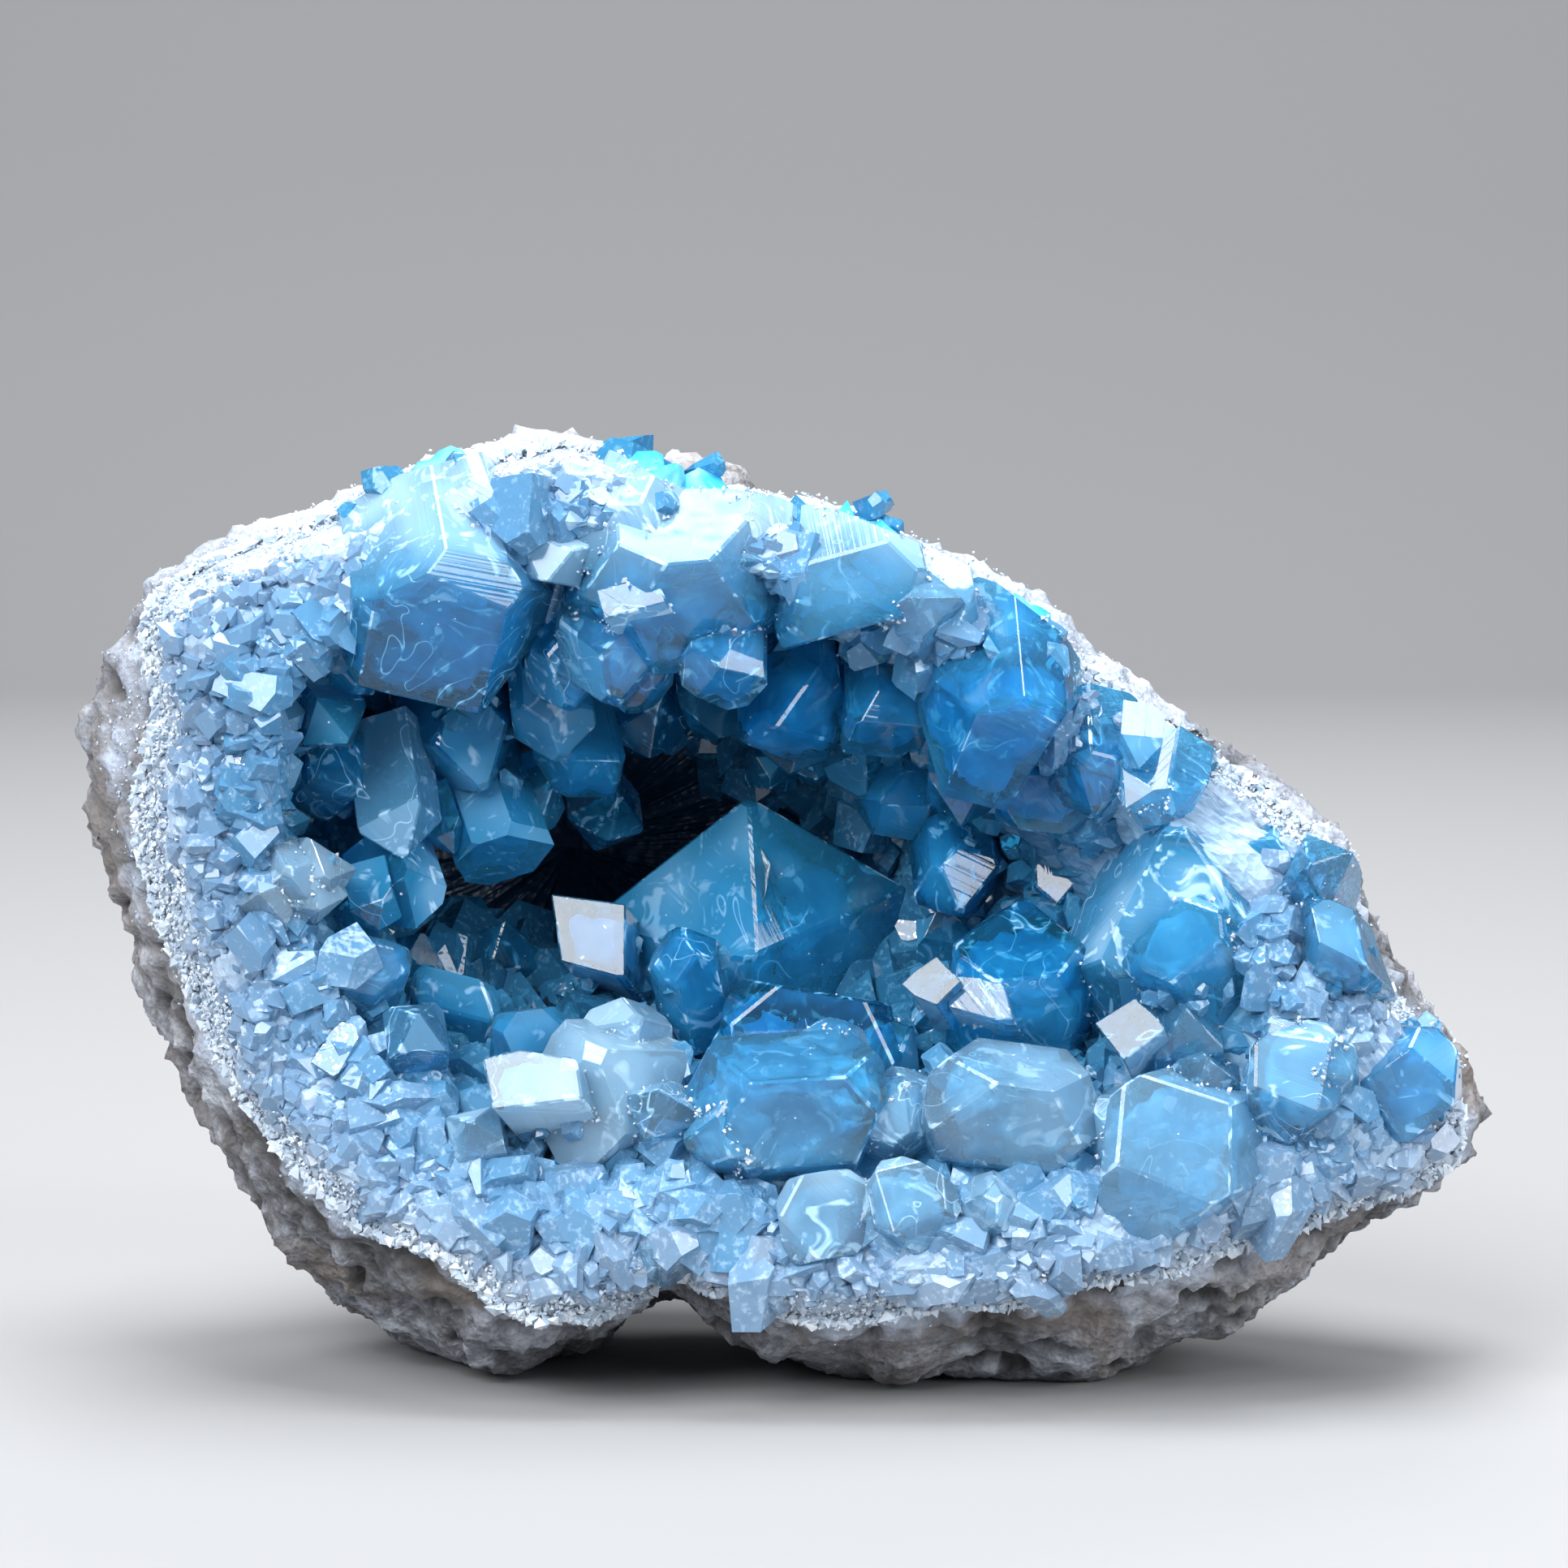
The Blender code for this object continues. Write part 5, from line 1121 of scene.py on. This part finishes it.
# Round lights, all turned to one point of the stone: name, place, size, power.
LIT_POINT = (0, 0, 0.06)
LIGHTS = (
    ("key", (-0.65, -0.9, 0.95), 1.1, 26),
    ("fill", (0.95, -0.8, 0.6), 0.8, 10),
    ("top", (0.05, 0.0, 1.1), 0.8, 11),
    ("spark_left", (-0.45, -0.85, 0.75), 0.06, 1.0),
    ("spark_right", (0.55, -0.7, 0.85), 0.06, 0.8),
    ("spark_top", (0.0, -0.45, 1.1), 0.06, 0.8),
    ("back", (0.1, 1.0, 1.0), 0.6, 6),
)


def area_light(name, place, target, size, power, shape="DISK"):
    """A light at one point, turned to another."""
    data = bpy.data.lights.new(name, "AREA")
    data.shape = shape
    data.size = size
    data.energy = power
    light = new_object(name, data)
    light.location = place
    light.rotation_euler = (Vector(target) - Vector(place)).to_track_quat("-Z", "Y").to_euler()


def make_stage():
    """Pale floor, soft lights, the pale room, and the camera at the picture's angle."""
    scene = bpy.context.scene
    camera = new_object("camera", bpy.data.cameras.new("camera"))
    camera.data.lens = LENS
    camera.data.sensor_width = SENSOR
    camera.location = CAMERA_PLACE
    camera.rotation_euler = (math.radians(CAMERA_TILT), 0, 0)
    scene.camera = camera

    start = FLOOR_FAR - FLOOR_BEND
    turns = np.linspace(0.1, math.pi / 2, 12)
    curve = [(FLOOR_NEAR, 0.0), (start, 0.0)]
    curve += [(start + FLOOR_BEND * math.sin(a), FLOOR_BEND * (1 - math.cos(a))) for a in turns]
    curve.append((FLOOR_FAR, FLOOR_HIGH))
    points = [(side * FLOOR_HALF, y, z) for y, z in curve for side in (-1, 1)]
    strips = [(2 * i, 2 * i + 1, 2 * i + 3, 2 * i + 2) for i in range(len(curve) - 1)]
    mesh = bpy.data.meshes.new("floor")
    mesh.from_pydata(points, [], strips)
    mesh.shade_smooth()
    floor = new_object("floor", mesh)
    paint = Paint("floor")
    paint.set(Base_Color=(0.32, 0.325, 0.335), Roughness=0.9, Specular_IOR_Level=0.1)
    mesh.materials.append(paint.made)

    for name, place, size, power in LIGHTS:
        area_light(name, place, LIT_POINT, size, power)
    area_light("backdrop_glow", (0, 0.3, 2.3), (0, 1.8, 0.6), 1.6, 34, "SQUARE")

    world = bpy.data.worlds.new("room")
    world.use_nodes = True
    room = world.node_tree.nodes["Background"]
    room.inputs["Color"].default_value = (0.50, 0.53, 0.58, 1)
    room.inputs["Strength"].default_value = 0.42
    scene.world = world
    scene.view_settings.view_transform = "Standard"
    scene.cycles.use_denoising = True
    scene.cycles.max_bounces = 6
    scene.cycles.diffuse_bounces = 2
    scene.cycles.glossy_bounces = 2
    scene.cycles.transmission_bounces = 6


# How milky and how pale the named crystals are; the others follow from their place.
LOOKS = {
    "giant": (0.15, 0.0),
    "roof_big_left": (0.09, 0.0),
    "roof_wide": (0.12, 0.06),
    "roof_big_right": (0.07, 0.05),
    "roof_broad": (0.10, 0.1),
    "right_ridge": (0.18, 0.08),
    "front_block": (0.14, 0.3),
    "front_striped": (0.20, 0.8),
    "front_frosted": (0.40, 0.9),
    "front_milky": (0.26, 0.65),
    "left_column": (0.30, 0.30),
    "pale_fan_a": (0.30, 1.0),
    "pale_fan_b": (0.30, 1.0),
    "pale_fan_c": (0.30, 1.0),
    "pale_fan_d": (0.25, 0.9),
    "floor_mirror": (0.05, 0.3),
    "front_white": (0.20, 0.9),
    "roof_facet": (0.10, 0.5),
    "roof_mirror": (0.10, 0.5),
    "floor_small_a": (0.10, 0.6),
    "floor_small_b": (0.10, 0.6),
    "front_facet": (0.10, 0.6),
}
# Crystals without a frosted face.
CLEAR = ("roof_big_left", "roof_wide")
CLEAR_TONE = 0.5
# Faces with a tone above the first number are frosted, by the second number times their tone.
FROST_TONE = 0.74
FROST_STRENGTH = 0.26
# Tone of the end face of a flat-topped crystal, frosted white as a painted highlight.
PAINTED_GLINT_TONE = 1.9


def crystal_looks():
    """How milky, pale and cloudy each crystal is, and the tones of its faces."""
    names = [row[0] for row in CRYSTALS] + [CRYSTALS[row[0]][0] for row in partners()]
    names += [""] * (len(LISTED) - len(names))
    tones = np.random.default_rng(8).uniform(0, 1, (len(LISTED), SIDES))
    chance = random.Random(5)
    looks = []
    for number, (name, row) in enumerate(zip(names, LISTED)):
        if name in CLEAR or row[5] == TABLET:
            tones[number] = CLEAR_TONE
        # Painted highlight: the end face of a flat-topped crystal is made white where a lamp's glint would
        # be.
        if row[5] == TABLET:
            tones[number, SIDES - 1] = PAINTED_GLINT_TONE
        front = min(max((-row[0][1] - 26) / 16, 0), 1)
        high = min(max((row[0][2] + MOVE[2] - 92) / 14, 0), 1)
        usual = (chance.uniform(0.05, 0.16) + 0.08 * front + 0.1 * high, max(0.75 * front, 0.6 * high))
        looks.append(LOOKS.get(name, usual) + (chance.uniform(0.2, 1.0) if number else 0.45,))
    return np.array(looks).T, tones


def finish_crystals(made):
    """Attributes of the joined crystals: how milky and pale each is, its worn edges and its lines."""
    (milk, pale, cloudy), tones = crystal_looks()
    tips = np.array([tuple(row[0]) for row in LISTED]) + MOVE
    ups = np.array([tuple(Vector(row[1]).normalized()) for row in LISTED])
    lengths = np.array([row[4] for row in LISTED])
    aside = Vector((0.8, 0.6, 0))
    sides = np.array([tuple(stand(row[0], row[1], row[6]).to_3x3() @ aside) for row in LISTED])

    mesh = made.data
    corners = read(mesh.polygons, "loop_total", kind=int)
    names = ("crystal", "worn", "side")
    layers = [np.repeat(read(mesh.attributes[name].data, "value", kind=int), corners) for name in names]
    owner, worn, side = layers
    points = read(mesh.vertices, "co", 3).reshape(-1, 3)[read(mesh.loops, "vertex_index", kind=int)] / MM
    away = points - tips[owner]
    back = -np.einsum("ij,ij->i", away, ups[owner]) / lengths[owner]
    tone = tones[owner, side]
    # Frosted faces, with the white end faces of flat-topped crystals among them as painted highlights.
    frost_and_glint = np.where(tone > FROST_TONE, FROST_STRENGTH * tone, 0.0) * (1 - worn)
    # The crystals along the top of the stone are milky and pale.
    crest = np.clip((points[:, 2] - 103) / 12, 0, 1)
    milky = milk[owner] + 0.1 * np.clip(back - 0.35, 0, 1) + frost_and_glint + 0.35 * crest
    values = {"milk": milky, "pale": np.maximum(pale[owner], 0.8 * crest), "cloudy": cloudy[owner],
              "edge": worn, "across": np.einsum("ij,ij->i", away, sides[owner]) + 37.0 * owner}
    for name, value in values.items():
        set_attribute(made, name, value, "CORNER")


def sheet_axes(normal, draw):
    """Unit directions out of a sheet and along it."""
    normal = normal / np.linalg.norm(normal)
    side = np.cross(normal, draw.normal(0, 1, 3))
    side /= np.linalg.norm(side)
    return normal, side, np.cross(normal, side)


def upright(row):
    """The rotation of one crystal as an array."""
    return np.array(stand((0, 0, 0), row[1], row[6]).to_3x3())


# Crystals narrower than this have no flakes, cloudy heart, veils or companions.
FLAKES_WIDTH = 12
CORE_WIDTH = 9.5
VEIL_WIDTH = 11
COMPANION_WIDTH = 9.5


def make_inclusions():
    """Flakes inside the larger crystals, most of them along healed cracks."""
    draw = np.random.default_rng(12)
    tips, grows, widths = [], [], []
    for row in LISTED:
        tip, _, width, thick, length, *_ = row
        if width < FLAKES_WIDTH:
            continue
        turned = upright(row)
        for _ in range(1 + int(width / 11)):
            normal, side, other = sheet_axes(draw.normal(0, 1, 3) * (1.0, 1.0, 0.45), draw)
            heart = draw.uniform(-0.24, 0.24, 3) * (width, thick, 0)
            heart[2] -= draw.uniform(0.28, 0.55) * length
            count = int(width * 4)
            spread = draw.uniform(0.08, 0.2) * width
            u, v = draw.normal(0, spread, count), draw.normal(0, spread * 0.5, count)
            bend = 0.9 * np.sin(u / 3.1 + draw.uniform(0, 6)) + draw.normal(0, 0.12, count)
            local = heart + u[:, None] * side + v[:, None] * other + bend[:, None] * normal
            limit = np.array((width * 0.36, thick * 0.36))
            local = local[(np.abs(local[:, :2]) < limit).all(1) & (local[:, 2] < -0.3 * width)]
            tips.append(local @ turned.T + np.array(tip))
            grows.append(normal @ turned.T + draw.normal(0, 0.2, local.shape))
            widths.append(draw.uniform(0.15, 0.6, len(local)) ** 1.3 * 1.3)
    tips, grows, widths = np.concatenate(tips), np.concatenate(grows), np.concatenate(widths)
    values = {"tint": draw.uniform(0, 1, len(tips))}
    return grow_small("inclusions", tips, grows, widths, 0.22, values, 31, GRAINS)


def make_cores():
    """Clouded hearts of the larger crystals, well inside their faces."""
    shape = bmesh.new()
    shape.verts.layers.float.new("tint")
    draw = np.random.default_rng(61)
    for tip, grow, width, thick, length, form, roll, seed in LISTED:
        if width < CORE_WIDTH:
            continue
        one = cut_crystal(width, thick, length, form, seed, 0)
        layer = one.verts.layers.float.new("tint")
        bmesh.ops.triangulate(one, faces=one.faces[:])
        bmesh.ops.subdivide_edges(one, edges=one.edges[:], cuts=5 if width > 16 else 3, use_grid_fill=True)
        heart = Vector((0, 0, -0.62 * width))
        share = draw.uniform(0.60, 0.76)
        front = min(max((-tip[1] - 22) / 18, 0), 1)
        tint = min(1.0, draw.uniform(0.0, 0.5) + 0.5 * front) * (0.3 if grow[2] < -0.3 else 1.0)
        shift = Vector(draw.uniform(-50, 50, 3))
        for vert in one.verts:
            away = (vert.co - heart) * share
            swell = 0.15 * noise.noise(vert.co / (0.30 * width) + shift)
            swell += 0.07 * noise.noise(vert.co / (0.12 * width) + shift)
            vert.co = heart + away + away.normalized() * width * swell
            vert.co.z = max(vert.co.z, -0.9 * length)
            vert[layer] = tint
        take_in(shape, one, tip, grow, roll)
    made = gathered("cloudy_cores", shape)
    made.data.shade_smooth()
    return made


VEIL_TURNS = 14
VEIL_ROWS = 4
# The large crystal's first veils stand upright in its middle: direction out of them and reach.
UPRIGHT_VEILS = 2
UPRIGHT_OUT = (1.0, 0.12, 0.05)
UPRIGHT_REACH = 7.0


def veil_points(reach, ragged, stretch, phase):
    """A wavy sheet: rows of its front, rows of its back, two middle points; along, across and out of it."""
    turn = np.linspace(0, 2 * math.pi, VEIL_TURNS, endpoint=False)
    rows = []
    for sign in (1, -1):
        for row in range(1, VEIL_ROWS + (sign > 0)):
            share = row / VEIL_ROWS
            far = share * reach * ragged
            u, v = far * np.cos(turn), far * np.sin(turn) * stretch
            bend = 0.16 * np.sin(2.4 * u / reach + phase[0]) + 0.1 * np.sin(3.1 * v / reach + phase[1])
            rows.append(np.stack([u, v, reach * bend + sign * 0.07 * (1 - share)], -1))
    bend = reach * (0.16 * math.sin(phase[0]) + 0.1 * math.sin(phase[1]))
    rows.append(np.array([(0, 0, bend + 0.08), (0, 0, bend - 0.08)]))
    return np.concatenate(rows)


def veil_faces(start):
    """Triangles of a sheet whose points begin at one number."""
    front = [start + row * VEIL_TURNS for row in range(VEIL_ROWS)]
    back = [start + (VEIL_ROWS + row) * VEIL_TURNS for row in range(VEIL_ROWS - 1)] + [front[-1]]
    tip = start + (2 * VEIL_ROWS - 1) * VEIL_TURNS
    faces = [fan(tip, front[0], VEIL_TURNS), fan(tip + 1, back[0], VEIL_TURNS)[:, ::-1]]
    faces += [strip(near, far, VEIL_TURNS)[:, ::-1] for near, far in zip(front, front[1:])]
    faces += [strip(near, far, VEIL_TURNS) for near, far in zip(back, back[1:])]
    return np.concatenate(faces)


def make_veils():
    """Wavy sheets like healed cracks inside the larger crystals, thin as paper at the edge."""
    draw = np.random.default_rng(19)
    turn = np.linspace(0, 2 * math.pi, VEIL_TURNS, endpoint=False)
    points, faces = [], []
    for row in LISTED:
        tip, _, width, thick, _, form, *_ = row
        if width < VEIL_WIDTH:
            continue
        for number in range(1 + int(width / 13)):
            upright_one = form == GIANT and number < UPRIGHT_VEILS
            normal = draw.normal(0, 1, 3) * (1.0, 1.0, 0.6)
            if upright_one:
                normal = np.array(UPRIGHT_OUT)
            normal, side, other = sheet_axes(normal, draw)
            heart = draw.uniform(-0.16, 0.16, 3) * (width, thick, 0)
            heart[2] -= draw.uniform(0.42, 0.75) * width
            reach = width * draw.uniform(0.10, 0.24)
            if upright_one:
                heart = np.array((1.0 + number, -3.5, -11.0 - 8 * number))
                reach = UPRIGHT_REACH
            waves = np.sin(turn * 3 + draw.uniform(0, 6)) * draw.uniform(0.3, 1)
            ragged = 1 + 0.35 * waves + draw.uniform(-0.2, 0.2, VEIL_TURNS)
            sheet = veil_points(reach, ragged, draw.uniform(0.35, 0.8), draw.uniform(0, 6, 2))
            faces.append(veil_faces(sum(len(each) for each in points)))
            local = heart + sheet @ np.stack([side, other, normal])
            points.append(local @ upright(row).T + np.array(tip))
    made = make_object("veils", np.concatenate(points), np.concatenate(faces))
    made.data.shade_smooth()
    return made


# Specks lie on faces larger than this (square metres); so many are tried, and so many are made smaller.
SPECK_AREA = 2e-6
SPECKS = 700
SMALL_SPECKS = 600


def seam_frost(made):
    """Frost in the seams where the front crystals meet, and white specks on their faces, partly dust and
    frost and partly painted highlights.
    """
    draw = np.random.default_rng(27)
    shape = bmesh.new()
    shape.from_mesh(made.data)
    layer = shape.faces.layers.int["crystal"]
    tips, grows = [], []
    for edge in shape.edges:
        if len(edge.link_faces) != 2 or edge.link_faces[0][layer] == edge.link_faces[1][layer]:
            continue
        first, last = edge.verts[0].co / MM, edge.verts[1].co / MM
        out = edge.link_faces[0].normal + edge.link_faces[1].normal
        centre = (first + last) / 2
        share = min(max((-centre.y - 12) / 22, 0), 1)
        if share == 0 or noise.noise(centre / 7) < 0.25 - 0.4 * share:
            continue
        for _ in range(int((last - first).length * 2.6 * share + draw.uniform(0, 1))):
            tips.append(tuple(first.lerp(last, draw.uniform(0, 1)) + Vector(draw.normal(0, 0.45, 3))))
            grows.append(tuple(out + Vector(draw.normal(0, 0.5, 3))))
    # Specks on the faces: partly dust and frost, partly white points painted in as highlights.
    faces = [each for each in shape.faces if each.calc_area() > SPECK_AREA]
    areas = np.array([each.calc_area() for each in faces])
    for index in draw.choice(len(faces), SPECKS, p=areas / areas.sum()):
        corners = np.array([vert.co for vert in faces[index].verts]) / MM
        place = draw.dirichlet(np.ones(len(corners))) @ corners
        if place[1] > 4:
            continue
        tips.append(tuple(place))
        grows.append(tuple(faces[index].normal))
    shape.free()
    widths = draw.uniform(0.3, 0.9, len(tips)) ** 1.7
    widths[-SMALL_SPECKS:] *= 0.45
    values = {"tint": draw.uniform(0.1, 1, len(tips))}
    tips = np.array(tips) - MOVE
    return grow_small("seam_frost", tips, np.array(grows), widths, 1.0, values, 33, GRAINS)


def companions():
    """Smaller crystals grown onto the flanks and feet of the larger ones."""
    draw = np.random.default_rng(44)
    tips, grows, widths = [], [], []
    for row in LISTED:
        tip, _, width, thick, length, *_ = row
        if width < COMPANION_WIDTH:
            continue
        turned = upright(row)
        for _ in range(int(4 + width * 0.35)):
            turn = draw.uniform(0, 2 * math.pi)
            size = draw.uniform(0.16, 0.36) * min(width, 22)
            back = draw.uniform(0.55, 0.95) * min(width, length)
            place = np.array((math.cos(turn) * width * 0.42, math.sin(turn) * thick * 0.42, -back))
            out = np.array((math.cos(turn), math.sin(turn), draw.uniform(0.2, 1.0)))
            out += draw.normal(0, 0.25, 3)
            out /= np.linalg.norm(out)
            tips.append((place + out * size * 0.5) @ turned.T + np.array(tip))
            grows.append(out @ turned.T)
            widths.append(size)
    tips, grows = np.array(tips), np.array(grows)
    front = np.clip((-tips[:, 1] - 24) / 16, 0, 1)
    values = {"way": 0.62 - 0.3 * front, "tint": draw.uniform(0, 1, len(tips)) ** 2.5,
              "left": 0 * front, "high": 0 * front, "low": 0 * front}
    return grow_small("companion_crystals", tips, grows, np.array(widths), 1.2, values, 35, CHUNKS)


def band_size(way, draw):
    """Widths on the frosted band, smallest near the rock."""
    usual = between(1.2, 3.6, np.clip((way - 0.2) / 1.3, 0, 1))
    return usual * (0.5 + 1.3 * draw.uniform(0, 1, len(way)) ** 1.8)


def hollow_size(way, draw):
    """Widths in the hollow, largest at its bottom."""
    usual = 2.8 + 5.5 * draw.uniform(0, 1, len(way)) ** 2
    return usual * between(1.0, 1.8, np.clip((way - 3.8) / 0.8, 0, 1))


def grain_size(way, draw):
    """Widths of the grains of the rim."""
    return draw.uniform(0.3, 0.95, len(way))


# How many of each kind are sown; some fall away.
BAND_COUNT = 5200
HOLLOW_COUNT = 2400
RIM_COUNT = 9000
ROCK_COUNT = 8000
EDGE_COUNT = 5600


make_stage()
clear, white, small = celestite(), frost(), small_crystal()
crystals = make_crystals()
finish_crystals(crystals)
crystals.data.materials.clear()
seams = seam_frost(crystals)
lining = make_lining()
flakes = make_inclusions()
cores = make_cores()
veils = make_veils()
band = druse("band_crystals", BAND_COUNT, (0.15, 2.3), band_size, rise=0.26, tilt=0.34, stretch=1.0,
             kinds=CHUNKS, seed=3, shade=1.5, free=True, coarse=0.45)
inner = druse("hollow_crystals", HOLLOW_COUNT, (1.9, 4.95), hollow_size, rise=0.42, tilt=0.3, stretch=1.05,
              kinds=CHUNKS, seed=4, shade=2.5, free=True)
extra = companions()
grains = druse("rim_frost", RIM_COUNT, (0.0, 0.85), grain_size, rise=0.5, tilt=0.6, stretch=1.0,
               kinds=GRAINS, seed=5, shade=1.0)
rock = make_rock()
rock.data.materials.clear()
crumbs = rock_crumbs("rock_frost", rock, ROCK_COUNT, 51)
edge = edge_frost("edge_frost", EDGE_COUNT, 71)

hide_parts("rock_matrix")
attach(rock, "root")
rock.data.materials.append(grey_rock())
painted = ((crystals, clear), (seams, white), (lining, crust_base()), (flakes, inclusion()),
           (cores, cloudy_core()), (veils, veil()), (band, small), (inner, small), (extra, small),
           (grains, white), (crumbs, white), (edge, white))
for piece, paint in painted:
    piece.data.materials.append(paint)
    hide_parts("crystal_crust")
    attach(piece, "root")
